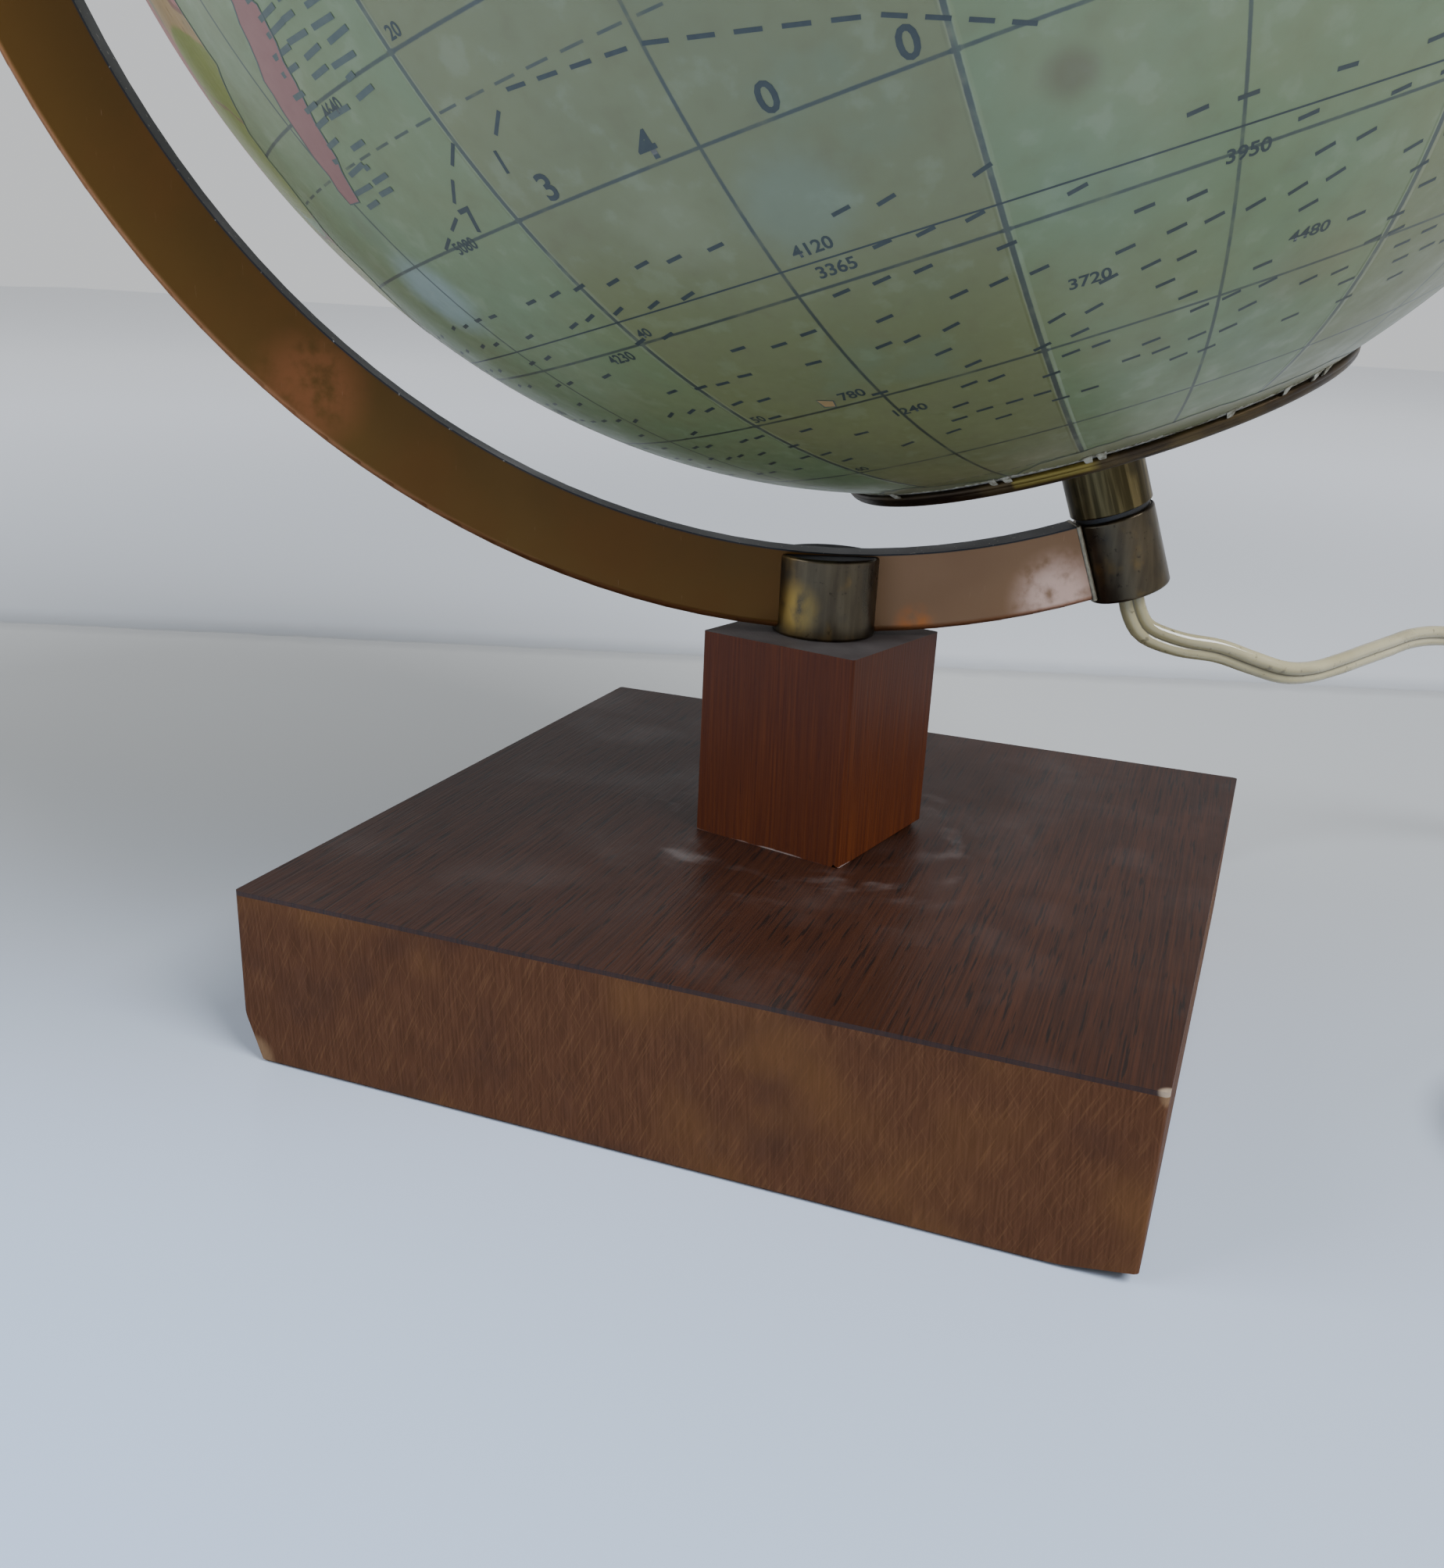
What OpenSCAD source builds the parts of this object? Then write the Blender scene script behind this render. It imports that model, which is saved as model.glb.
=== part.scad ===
// Terrestrial globe, 25 cm, lit from inside, carried by a bent metal arm on a square wooden foot.
// The foot stands on z = 0 with its centre at the origin, and its front edge runs along X.

/* [Foot] */
// Side of the square foot
foot_w = 150; // [120:1:220]
// Height of the foot with its veneer
foot_h = 31.2; // [26:0.1:50]
// Thickness of the veneer on top
veneer_t = 0.8; // [0.4:0.1:2]
// Radius of the foot's upright edges
foot_edge_r = 0.8; // [0.3:0.1:6]
// Width of the bevel round the underside
foot_bevel = 0.6; // [0.2:0.1:3]
// Diameter of the well for the nut, under the foot
well_d = 26; // [22:0.5:50]
// Depth of that well
well_h = 14; // [12:0.5:20]
// Width to which the foot's lower left corner is worn away
left_wear_w = 3.5; // [1:0.1:6]
// Height to which that corner is worn away
left_wear_h = 10; // [2:0.5:16]
// Width to which the foot's lower right corner is worn away
right_wear_w = 15; // [4:0.5:20]
// Height to which that corner is worn away
right_wear_h = 2.2; // [0.8:0.1:6]

/* [Post] */
// Side of the square post
post_w = 31.4; // [26:0.1:60]
// Height of the post
post_h = 38.1; // [20:0.1:90]
// Angle by which the post has turned on the foot
post_turn = -13.5; // [-45:0.5:45]
// Radius of the post's upright edges
post_edge_r = 0.6; // [0.2:0.1:4]
// Height to which the post's lower right edge is worn away
post_wear = 1.2; // [0.4:0.1:3]

/* [Clamp] */
// Diameter of the threaded stud that holds the stand together
stud_d = 5; // [4:0.1:5.4]
// Length of stud that is screwed into the arm
stud_grip = 6; // [4:0.5:9]
// Outer diameter of the flat washer
washer_d = 20; // [14:0.5:21]
// Thickness of the flat washer
washer_t = 1.2; // [0.6:0.1:2]
// Thickness of the spring washer
spring_washer_t = 1.4; // [0.8:0.1:2]
// Width across the nut's corners
nut_d = 9.2; // [8:0.1:12]
// Thickness of the nut
nut_h = 4; // [3:0.1:6]

/* [Arm] */
// Angle of the arm against the foot's front edge
arm_turn = 25.3; // [-60:0.1:60]
// Diameter of the collar that stands on the post
collar_d = 18.8; // [14:0.1:26]
// Height of that collar
collar_h = 14.4; // [12:0.1:18]
// Thickness of the collar's floor, under the arm
collar_floor = 2; // [1.6:0.1:3]
// Free space between the globe and the arm
arm_gap = 11.2; // [9.2:0.1:20]
// Width of the arm along its radius
arm_w = 14.1; // [10:0.1:20]
// Thickness of the arm
arm_t = 6.6; // [6:0.1:9]
// Radius of the arm's rounded outer edges
arm_edge_r = 1.3; // [0.4:0.1:2.5]
// Distance of the globe's centre from the stud, along the arm
globe_offset = 2.9; // [0:0.1:6]

/* [Globe] */
// Diameter over the paper
globe_d = 251.6; // [244:0.1:253]
// Thickness of the glass
glass_t = 2.2; // [1.6:0.1:4]
// Thickness of the printed paper
paper_t = 0.25; // [0.15:0.01:0.5]
// Tilt of the axis from upright
tilt = 20.6; // [12:0.1:28]
// Diameter of the glass's mouth at the south pole
mouth_d = 78; // [70:0.5:79]
// Diameter of the glass's hole at the north pole
north_hole_d = 12; // [10:0.5:20]
// Diameter of the paper's edge round the south pole
paper_mouth_d = 85.4; // [80:0.1:86]

/* [Pivots] */
// Diameter of the necks and of the sockets on the arm's ends
fitting_d = 14.8; // [13.6:0.1:18]
// Length of each socket
socket_l = 15; // [12:0.1:20]
// Radius of the rounding on the sockets' and collar's rims
rim_r = 0.6; // [0.2:0.1:1.2]
// Depth of the flat on each socket, where the arm's end butts
flat_depth = 0.5; // [0.3:0.1:1]
// Width of the dark joint between neck and socket
joint_gap = 0.9; // [0.5:0.1:1.5]
// Diameter of the washer in that joint
thrust_d = 13.2; // [12:0.1:13.4]
// Outer diameter of the hollow axle
axle_d = 10; // [9:0.1:10.8]
// Bore of the hollow axle
axle_bore_d = 7; // [6:0.1:7.6]
// Length of axle inside the globe, above the dish
axle_rise = 28; // [20:0.5:40]
// Diameter of the north pivot
pivot_d = 5; // [4:0.1:6]
// Diameter of the north pivot's milled head
knob_d = 13; // [10:0.5:16]
// Height of that head
knob_h = 6; // [4:0.5:9]

/* [Dish] */
// Outer diameter of the spun dish under the globe
dish_d = 88.2; // [87.4:0.1:94]
// Thickness of its sheet
dish_t = 0.8; // [0.5:0.1:1.2]
// Radius of the dish's bend
dish_bend_r = 1.4; // [1:0.1:1.5]
// Radius of the bead round its rim
bead_r = 0.6; // [0.45:0.05:0.7]
// Width of the three leaf clips
clip_w = 9; // [6:0.5:12]
// Thickness of the clips
clip_t = 0.6; // [0.4:0.05:0.9]
// Outer diameter of the domed cap on the north pole
north_cap_d = 34; // [26:0.5:60]

/* [Lamp] */
// Diameter of the lamp holder
holder_d = 28; // [26:0.5:34]
// Length of the holder's dome
holder_dome_h = 20; // [18:0.5:30]
// Length of the holder's sleeve
holder_sleeve_h = 27; // [26:0.5:30]
// Wall of the holder
holder_wall = 1.6; // [1.2:0.1:2.4]
// Diameter of the bulb's screw cap
bulb_cap_d = 13.8; // [13:0.1:14]
// Diameter of the bulb
bulb_d = 45; // [35:0.5:60]
// Thickness of the bulb's glass
bulb_t = 0.8; // [0.5:0.1:1.2]

/* [Cord] */
// Width of the flat twin flex
cord_w = 4.8; // [4:0.1:5.2]
// Thickness of the flex
cord_t = 2.6; // [2.2:0.1:3]
// Turns in each of the coil's two layers
coil_turns = 3.25; // [2.25:1:4.25]
// Radius of the coil's outermost turn
coil_r = 34.5; // [33:0.5:42]
// Distance between turns
coil_pitch = 3.2; // [3.1:0.05:3.4]
// Distance between the two layers
coil_layer = 5.3; // [5.25:0.05:6]
// Thickness of the tie round the coil
tie_t = 0.6; // [0.4:0.1:1]
// Width of the tie
tie_w = 5; // [3:0.5:8]

/* [Switch] */
// Length of the switch between its glands
switch_l = 50; // [46:1:54]
// Width of the switch
switch_w = 26; // [24:0.5:30]
// Height of the switch
switch_h = 18; // [17:0.5:22]
// Wall of the switch's shells
switch_wall = 1.8; // [1.4:0.1:2.4]
// Angle through which the rocker tips
rocker_throw = 18; // [10:1:22]

/* [Plug] */
// Length of the plug's body
plug_l = 38; // [34:1:44]
// Width of the plug's body
plug_w = 27; // [25:0.5:34]
// Thickness of the plug's body
plug_t = 13; // [11:0.5:16]
// Diameter of the pins
pin_d = 4; // [3.8:0.1:5]
// Length of the pins
pin_l = 19; // [17:0.5:20]
// Distance between the pins
pin_pitch = 19; // [17:0.5:20]

/* [Hidden] */
$fn = 96;

// Clearances: parts screwed or pressed together, parts that turn, and holes in wood.
fixed_gap = 0.03;
turn_gap = 0.06;
touch_gap = 0.02;
paste_t = 0.05;
wood_gap = 0.3;

wood_h = foot_h - veneer_t;
post_top = foot_h + post_h;
stud_r = stud_d / 2;
stud_low = well_h - washer_t - spring_washer_t - nut_h - 2;
collar_r = collar_d / 2;
paper_r = globe_d / 2;
arm_in_r = paper_r + arm_gap;
arm_out_r = arm_in_r + arm_w;
arm_rest = 0.63;
globe_z = post_top + arm_rest + sqrt(arm_out_r * arm_out_r - globe_offset * globe_offset);
glass_r = paper_r - paper_t;
glass_in_r = glass_r - glass_t;
fitting_r = fitting_d / 2;
arm_end = fitting_r - flat_depth;
axle_r = axle_d / 2;
axle_bore_r = axle_bore_d / 2;
pivot_r = pivot_d / 2;

// Distances from the globe's centre along its axis.
socket_near = arm_in_r;
socket_far = arm_in_r + socket_l;
neck_end = socket_near - joint_gap;
mouth_edge = sqrt(glass_r * glass_r - mouth_d * mouth_d / 4);
dish_in = mouth_edge + 0.25;
dish_out = dish_in + dish_t;
dish_r = dish_d / 2;
dish_gap = 0.1;
bead_at_r = dish_r - dish_t / 2;
bead_z = sqrt(pow(paper_r + bead_r + dish_gap, 2) - bead_at_r * bead_at_r);
axle_end = socket_far - 4.2;
axle_top = dish_in - axle_rise;
dome_floor = axle_top + 3.5;
dome_top = dome_floor - holder_dome_h;
sleeve_top = dome_top - holder_sleeve_h;
cap_h = 21;
bulb_r = bulb_d / 2;

module in_arm() {
    rotate([0, 0, arm_turn]) children();
}

module on_axis() {
    in_arm() translate([globe_offset, 0, globe_z]) rotate([0, -tilt, 0]) children();
}

// A turned rod from z = 0 to h whose rims are rounded to radius e.
module turned_rod(r, h, e) {
    rotate_extrude() {
        square([r - e, h]);
        translate([0, e]) square([r, h - 2 * e]);
        for (z = [e, h - e]) translate([r - e, z]) circle(e);
    }
}

module ring(outer, inner, h) {
    difference() {
        cylinder(r = outer, h = h);
        translate([0, 0, -1]) cylinder(r = inner, h = h + 2);
    }
}

module hex_nut(across, inner, h) {
    difference() {
        cylinder(r = across / 2, h = h, $fn = 6);
        translate([0, 0, -1]) cylinder(r = inner, h = h + 2);
    }
}

// A rectangle centred on the origin with rounded corners.
module round_rect(w, d, r) {
    square([w - 2 * r, d], center = true);
    square([w, d - 2 * r], center = true);
    for (x = [-1, 1], y = [-1, 1]) translate([x * (w / 2 - r), y * (d / 2 - r)]) circle(r);
}

// What wear takes off a block's corner at the origin, where its edges are worn back by a, b and c.
module worn_corner(a, b, c) {
    n = [1 / a, 1 / b, 1 / c];
    depth = 1 / norm(n);
    side = 4 * (a + b + c);
    rotate([0, acos(n[2] * depth), atan2(n[1], n[0])]) translate([0, 0, depth - side / 2])
        cube(side, center = true);
}

// Foot, post and the clamp that holds them

module foot_block() {
    cut = foot_bevel * sqrt(2);
    color("#5a3524") difference() {
        linear_extrude(wood_h) round_rect(foot_w, foot_w, foot_edge_r);
        for (a = [0:90:270]) rotate([0, 0, a]) translate([foot_w / 2, 0, 0]) rotate([0, 45, 0])
            cube([cut, foot_w + 2, cut], center = true);
        translate([0, 0, -1]) cylinder(r = stud_r + wood_gap, h = foot_h + 2);
        translate([0, 0, -1]) cylinder(d = well_d, h = well_h + 1);
        translate([-foot_w / 2, -foot_w / 2, 0]) worn_corner(left_wear_w, left_wear_h, left_wear_h);
        translate([foot_w / 2, -foot_w / 2, 0]) mirror([1, 0, 0])
            worn_corner(right_wear_w, right_wear_w, right_wear_h);
    }
}

module foot_veneer() {
    color("#4a332a") translate([0, 0, wood_h]) difference() {
        linear_extrude(veneer_t) round_rect(foot_w, foot_w, foot_edge_r);
        translate([0, 0, -1]) cylinder(r = stud_r + wood_gap, h = veneer_t + 2);
    }
}

module post_block() {
    wear_angle = atan(post_wear / post_w);
    color("#6a3a24") rotate([0, 0, post_turn]) translate([0, 0, foot_h]) difference() {
        linear_extrude(post_h) round_rect(post_w, post_w, post_edge_r);
        translate([0, 0, -1]) cylinder(r = stud_r + wood_gap, h = post_h + 2);
        translate([post_w / 2, -post_w / 2, 0]) rotate([wear_angle, 0, 0]) rotate([0, 30, 0])
            translate([-post_wear, -1, -2 * post_wear]) cube([4 * post_wear, post_w + 4, 2 * post_wear]);
    }
}

module clamp_stud() {
    color("#8c8a84") translate([0, 0, stud_low])
        cylinder(r = stud_r, h = post_top + collar_floor + stud_grip - stud_low);
}

module flat_washer() {
    color("#9a9890") translate([0, 0, well_h - washer_t])
        ring(washer_d / 2, stud_r + turn_gap, washer_t);
}

module spring_washer() {
    inner = stud_r + turn_gap;
    color("#85837c") translate([0, 0, well_h - washer_t - spring_washer_t])
        rotate_extrude(angle = 345) translate([inner, 0]) square([nut_d / 2 - stud_r - 0.4, spring_washer_t]);
}

module clamp_nut() {
    color("#8c8a84") translate([0, 0, well_h - washer_t - spring_washer_t - nut_h])
        hex_nut(nut_d, stud_r + turn_gap, nut_h);
}

// Collar and arm

module stem_collar() {
    color("#5c5240") in_arm() translate([0, 0, post_top]) difference() {
        turned_rod(collar_r, collar_h, rim_r);
        translate([-collar_r - 1, -arm_t / 2 - fixed_gap, collar_floor])
            cube([collar_d + 2, arm_t + 2 * fixed_gap, collar_h]);
        translate([0, 0, -1]) cylinder(r = stud_r + fixed_gap, h = collar_floor + 2);
    }
}

module arm_section() {
    translate([arm_in_r, -arm_t / 2]) square([arm_w - arm_edge_r, arm_t]);
    translate([arm_in_r, arm_edge_r - arm_t / 2]) square([arm_w, arm_t - 2 * arm_edge_r]);
    for (y = [-1, 1]) translate([arm_out_r - arm_edge_r, y * (arm_t / 2 - arm_edge_r)]) circle(arm_edge_r);
}

module meridian_arm() {
    stud_hole = post_top + collar_floor + stud_grip + 0.3;
    color("#8a5a38") difference() {
        on_axis() rotate([90, 0, 0]) rotate([0, 0, 90]) rotate_extrude(angle = 180, $fn = 180) arm_section();
        on_axis() for (s = [-1, 1]) translate([0, 0, s * arm_out_r])
            cube([2 * arm_end, 2 * arm_t, 4 * arm_w], center = true);
        in_arm() translate([0, 0, post_top - 1])
            cylinder(r = collar_r + fixed_gap, h = 1 + collar_floor + fixed_gap);
        cylinder(r = stud_r + fixed_gap, h = stud_hole);
    }
}

// A socket from z = 0, with the flat against which the arm's end butts.
module socket_rod() {
    difference() {
        turned_rod(fitting_r, socket_l, rim_r);
        translate([-arm_end + touch_gap - fitting_d, -fitting_r, -1]) cube([fitting_d, fitting_d, arm_w + 1]);
    }
}

// South pivot: socket on the arm, hollow axle, neck and dish of the globe

module south_socket() {
    bush_r = fitting_r - 2;
    color("#57503f") on_axis() mirror([0, 0, 1]) translate([0, 0, socket_near]) difference() {
        socket_rod();
        translate([0, 0, -1]) cylinder(r = axle_r + fixed_gap, h = socket_l + 2);
        translate([0, 0, axle_end - socket_near]) cylinder(r = bush_r + fixed_gap, h = socket_l);
    }
}

module cord_bush() {
    bush_r = fitting_r - 2;
    bush_h = socket_far - axle_end;
    hole_r = cord_w / 2 + 0.6;
    color("#2c2a28") on_axis() mirror([0, 0, 1]) translate([0, 0, axle_end + touch_gap]) difference() {
        cylinder(r = bush_r, h = bush_h - 2 * touch_gap);
        translate([0, 0, -1]) cylinder(r = hole_r, h = bush_h + 2);
        translate([0, 0, bush_h - 1.2]) cylinder(r1 = hole_r, r2 = hole_r + 1.4, h = 1.4);
    }
}

module thrust_washer() {
    color("#24211f") on_axis() mirror([0, 0, 1]) translate([0, 0, neck_end + touch_gap])
        ring(thrust_d / 2, axle_r + turn_gap, joint_gap - touch_gap);
}

module hollow_axle() {
    color("#b08d4a") on_axis() mirror([0, 0, 1]) translate([0, 0, axle_top])
        ring(axle_r, axle_bore_r, axle_end - axle_top);
}

module axle_nut() {
    color("#a88648") on_axis() mirror([0, 0, 1]) translate([0, 0, dome_floor + touch_gap])
        hex_nut(axle_d * 1.6, axle_r + fixed_gap, 3);
}

module dish_profile() {
    bend_in_r = dish_bend_r - dish_t;
    hole_r = fitting_r - 1.2 + fixed_gap;
    translate([hole_r, dish_in]) square([dish_r - dish_bend_r - hole_r, dish_t]);
    translate([dish_r - dish_t, bead_z]) square([dish_t, dish_out - dish_bend_r - bead_z]);
    translate([dish_r - dish_bend_r, dish_out - dish_bend_r]) intersection() {
        difference() {
            circle(dish_bend_r);
            circle(bend_in_r);
        }
        square(dish_bend_r);
    }
    translate([bead_at_r, bead_z]) circle(bead_r);
}

module south_dish() {
    color("#5b4c36") on_axis() mirror([0, 0, 1]) difference() {
        rotate_extrude($fn = 180) dish_profile();
        for (a = clip_angles) rotate([0, 0, a]) translate([rivet_at, 0, dish_in - 1])
            cylinder(r = rivet_r + fixed_gap, h = dish_t + 2);
    }
}

module south_neck() {
    spigot_r = fitting_r - 1.2;
    color("#9b8248") on_axis() mirror([0, 0, 1]) difference() {
        union() {
            translate([0, 0, dish_out + touch_gap]) turned_rod(fitting_r, neck_end - dish_out - touch_gap, rim_r / 2);
            translate([0, 0, dish_in - 1]) cylinder(r = spigot_r, h = dish_t + 2);
            translate([0, 0, dish_in - 1 - touch_gap]) cylinder(r = fitting_r + 1.5, h = 1);
        }
        translate([0, 0, dish_in - 2]) cylinder(r = axle_r + turn_gap, h = neck_end - dish_in + 3);
    }
}

// Leaf clips: each is riveted to the dish, rises through the mouth and bears on the glass inside.
clip_angles = [60, 180, 300];
rivet_r = 1.5;
rivet_at = 20;
clip_foot = dish_in - touch_gap - clip_t / 2;
mouth_r = mouth_d / 2;
bear_r = mouth_r + 7;
bear_z = sqrt(glass_in_r * glass_in_r - bear_r * bear_r) - clip_t / 2 - 0.3;
clip_path = [[15, clip_foot], [mouth_r - 6, clip_foot], [mouth_r - 3.4, clip_foot - 2.6],
    [mouth_r - 2.6, clip_foot - 6], [mouth_r - 1, clip_foot - 8.6], [mouth_r + 2, clip_foot - 9.4],
    [mouth_r + 5, bear_z - 2], [bear_r, bear_z], [bear_r + 2.6, bear_z - 2.4]];

function unit(v) = v / norm(v);
function side_of(p, i) = let (
        a = unit(p[min(i + 1, len(p) - 1)] - p[max(i, 0)] + (i == len(p) - 1 ? p[i] - p[i - 1] : [0, 0])),
        b = i == 0 ? a : unit(p[i] - p[i - 1]),
        n = unit([-(a + b)[1], (a + b)[0]])
    ) n / (n * [-b[1], b[0]]);

// A bent strip of thickness t whose middle line runs through the points p.
module strip(p, t) {
    polygon(concat([for (i = [0:len(p) - 1]) p[i] + side_of(p, i) * t / 2],
        [for (i = [len(p) - 1:-1:0]) p[i] - side_of(p, i) * t / 2]));
}

module leaf_clips() {
    color("#a9a69c") on_axis() mirror([0, 0, 1]) for (a = clip_angles) rotate([0, 0, a]) difference() {
        translate([0, clip_w / 2, 0]) rotate([90, 0, 0]) linear_extrude(clip_w) strip(clip_path, clip_t);
        translate([rivet_at, 0, dish_in - 3]) cylinder(r = rivet_r + fixed_gap, h = 4);
    }
}

module clip_rivets() {
    head_z = dish_in - touch_gap - clip_t;
    color("#8f8668") on_axis() mirror([0, 0, 1]) for (a = clip_angles) rotate([0, 0, a])
        translate([rivet_at, 0, 0]) {
            translate([0, 0, head_z - 1 - touch_gap]) cylinder(r = 2.6, h = 1);
            translate([0, 0, head_z - 0.5]) cylinder(r = rivet_r, h = dish_out - head_z + 1);
            translate([0, 0, dish_out + touch_gap]) turned_rod(2.4, 0.8, 0.3);
        }
}

// Globe

module shell_profile(outer, inner, south_r, north_r) {
    difference() {
        circle(outer);
        circle(inner);
        translate([-2 * outer, -2 * outer]) square([2 * outer, 4 * outer]);
        translate([-1, -2 * outer]) square([south_r + 1, 2 * outer]);
        translate([-1, 0]) square([north_r + 1, 2 * outer]);
    }
}

module glass_sphere() {
    color("#dfe6dc") on_axis() rotate_extrude($fn = 180)
        shell_profile(glass_r, glass_in_r, mouth_r, north_hole_d / 2);
}

module map_paper() {
    color("#8fa283") on_axis() rotate_extrude($fn = 180)
        shell_profile(paper_r, glass_r + paste_t, paper_mouth_d / 2, north_hole_d / 2 + 3);
}

module north_cap() {
    cap_r = north_cap_d / 2;
    color("#7d6740") on_axis() rotate_extrude() intersection() {
        difference() {
            circle(paper_r + 0.1 + dish_t);
            circle(paper_r + 0.1);
        }
        translate([north_hole_d / 2 - 0.4 + fixed_gap, 0]) square([cap_r - north_hole_d / 2 + 0.4, 2 * paper_r]);
    }
}

module north_neck() {
    spigot_r = north_hole_d / 2 - 0.4;
    seat_z = paper_r + 0.1 + dish_t + touch_gap;
    nut_z = sqrt(glass_in_r * glass_in_r - 100) - 5;
    color("#9b8248") on_axis() difference() {
        union() {
            translate([0, 0, seat_z]) turned_rod(fitting_r, neck_end - seat_z, rim_r / 2);
            translate([0, 0, nut_z]) cylinder(r = spigot_r, h = seat_z - nut_z + 1);
        }
        translate([0, 0, nut_z - 1]) cylinder(r = pivot_r + turn_gap, h = neck_end);
    }
}

module north_nut() {
    flange_r = 10;
    seat_z = sqrt(glass_in_r * glass_in_r - flange_r * flange_r) - turn_gap;
    inner = north_hole_d / 2 - 0.4 + fixed_gap;
    color("#a88648") on_axis() {
        translate([0, 0, seat_z - 1]) ring(flange_r, inner, 1);
        translate([0, 0, seat_z - 4]) hex_nut(17, inner, 3);
    }
}

module north_socket() {
    color("#57503f") on_axis() translate([0, 0, socket_near]) difference() {
        socket_rod();
        translate([0, 0, -1]) cylinder(r = pivot_r + fixed_gap, h = socket_l + 2);
    }
}

module north_washer() {
    color("#24211f") on_axis() translate([0, 0, neck_end + touch_gap])
        ring(thrust_d / 2, pivot_r + turn_gap, joint_gap - touch_gap);
}

module pivot_screw() {
    pivot_in = 10;
    flutes = 20;
    color("#8a7443") on_axis() {
        translate([0, 0, neck_end - pivot_in]) cylinder(r = pivot_r, h = socket_far - neck_end + pivot_in + 1);
        translate([0, 0, socket_far + touch_gap]) difference() {
            turned_rod(knob_d / 2, knob_h, 0.8);
            for (k = [0:flutes - 1]) rotate([0, 0, 360 * k / flutes]) translate([knob_d / 2 + 0.3, 0, -1])
                cylinder(r = 0.7, h = knob_h + 2, $fn = 24);
        }
    }
}

// Lamp holder and bulb, on the end of the hollow axle

module holder_dome() {
    color("#3a2a20") on_axis() mirror([0, 0, 1]) translate([0, 0, dome_top]) difference() {
        turned_rod(holder_d / 2, holder_dome_h, 1.5);
        translate([0, 0, -1]) cylinder(r = holder_d / 2 - holder_wall, h = holder_dome_h - 2.5 + 1);
        cylinder(r = axle_r + fixed_gap, h = holder_dome_h + 1);
    }
}

module holder_block() {
    block_h = 9;
    color("#cfc8b8") on_axis() mirror([0, 0, 1]) translate([0, 0, dome_top]) difference() {
        cylinder(r = holder_d / 2 - holder_wall - 0.1, h = block_h);
        for (x = [-1, 1]) translate([x * 6.5, 0, -1]) cylinder(r = 1.2, h = block_h + 2);
        translate([-3.5, 4, block_h / 2]) cube([7, 5, block_h]);
    }
}

module holder_sleeve() {
    color("#3a2a20") on_axis() mirror([0, 0, 1]) translate([0, 0, sleeve_top]) {
        ring(holder_d / 2 - 2, holder_d / 2 - 2 - holder_wall, holder_sleeve_h - touch_gap);
        translate([0, 0, holder_sleeve_h - 3 - touch_gap]) ring(holder_d / 2, holder_d / 2 - 3, 3);
    }
}

module thread_shell() {
    shell_r = bulb_cap_d / 2 + 0.1;
    color("#b8934c") on_axis() mirror([0, 0, 1]) translate([0, 0, dome_top - cap_h + 2]) {
        ring(shell_r + 0.6, shell_r, cap_h - 2 - touch_gap);
        translate([0, 0, cap_h - 2.8 - touch_gap]) ring(holder_d / 2 - 4, shell_r, 0.8);
    }
}

module contact_spring() {
    color("#b08d4a") on_axis() mirror([0, 0, 1]) translate([-4, -1.5, dome_top - 0.7 - touch_gap])
        cube([8, 3, 0.7]);
}

module bulb_cap() {
    color("#b9b6ae") on_axis() mirror([0, 0, 1]) translate([0, 0, dome_top - cap_h]) {
        difference() {
            cylinder(r = bulb_cap_d / 2, h = cap_h - 3);
            translate([0, 0, -1]) cylinder(r = bulb_cap_d / 2 - 0.5, h = cap_h - 4);
        }
        translate([0, 0, cap_h - 3.01]) cylinder(r1 = bulb_cap_d / 2 - 1, r2 = 2.4, h = 2.1);
    }
}

module bulb_glass() {
    neck_r = bulb_cap_d / 2 - 0.6;
    drop = sqrt(bulb_r * bulb_r - neck_r * neck_r);
    color("#f0ead6") on_axis() translate([0, 0, bulb_r + drop - dome_top + cap_h]) rotate_extrude() difference() {
        union() {
            circle(bulb_r);
            translate([0, -drop - bulb_r]) square([neck_r, bulb_r + 4]);
        }
        circle(bulb_r - bulb_t);
        translate([-2 * bulb_r, -3 * bulb_r]) square([2 * bulb_r, 5 * bulb_r]);
        translate([-1, -drop - bulb_r - 1]) square([neck_r - bulb_t + 1, bulb_r + 8]);
    }
}

module filament_mount() {
    stem_l = 33.7;
    stem_r = 2.2;
    lead_l = 10;
    lead_r = 0.4;
    coil_l = 13.5;
    color("#c9c6bd") on_axis() mirror([0, 0, 1]) translate([0, 0, dome_top - cap_h + 8 - stem_l]) {
        translate([0, 0, 8]) cylinder(r = stem_r, h = stem_l - 0.3);
        for (x = [-1, 1]) translate([x * (stem_r - 0.7), 0, 9]) rotate([0, x * 150, 0])
            cylinder(r = lead_r, h = lead_l);
        translate([0, 0, 0.5]) rotate([0, 90, 0]) cylinder(r = lead_r + 0.1, h = coil_l, center = true);
    }
}

// Flex, switch and plug

// Sections of the flex: flat with eight sides, and upright with six for the coil.
flat_section = [[1, 0.35], [0.7, 1], [-0.7, 1], [-1, 0.35], [-1, -0.35], [-0.7, -1], [0.7, -1], [1, -0.35]];
upright_section = [[0, 1], [-1, 0.5], [-1, -0.5], [0, -1], [1, -0.5], [1, 0.5]];
axis_down = [sin(tilt) * cos(arm_turn), sin(tilt) * sin(arm_turn), -cos(tilt)];
exit_at = [globe_offset * cos(arm_turn), globe_offset * sin(arm_turn), globe_z] + socket_far * axis_down;
coil_at = [160, -10];
coil_z = tie_t + 0.3 + cord_w / 2;

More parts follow.
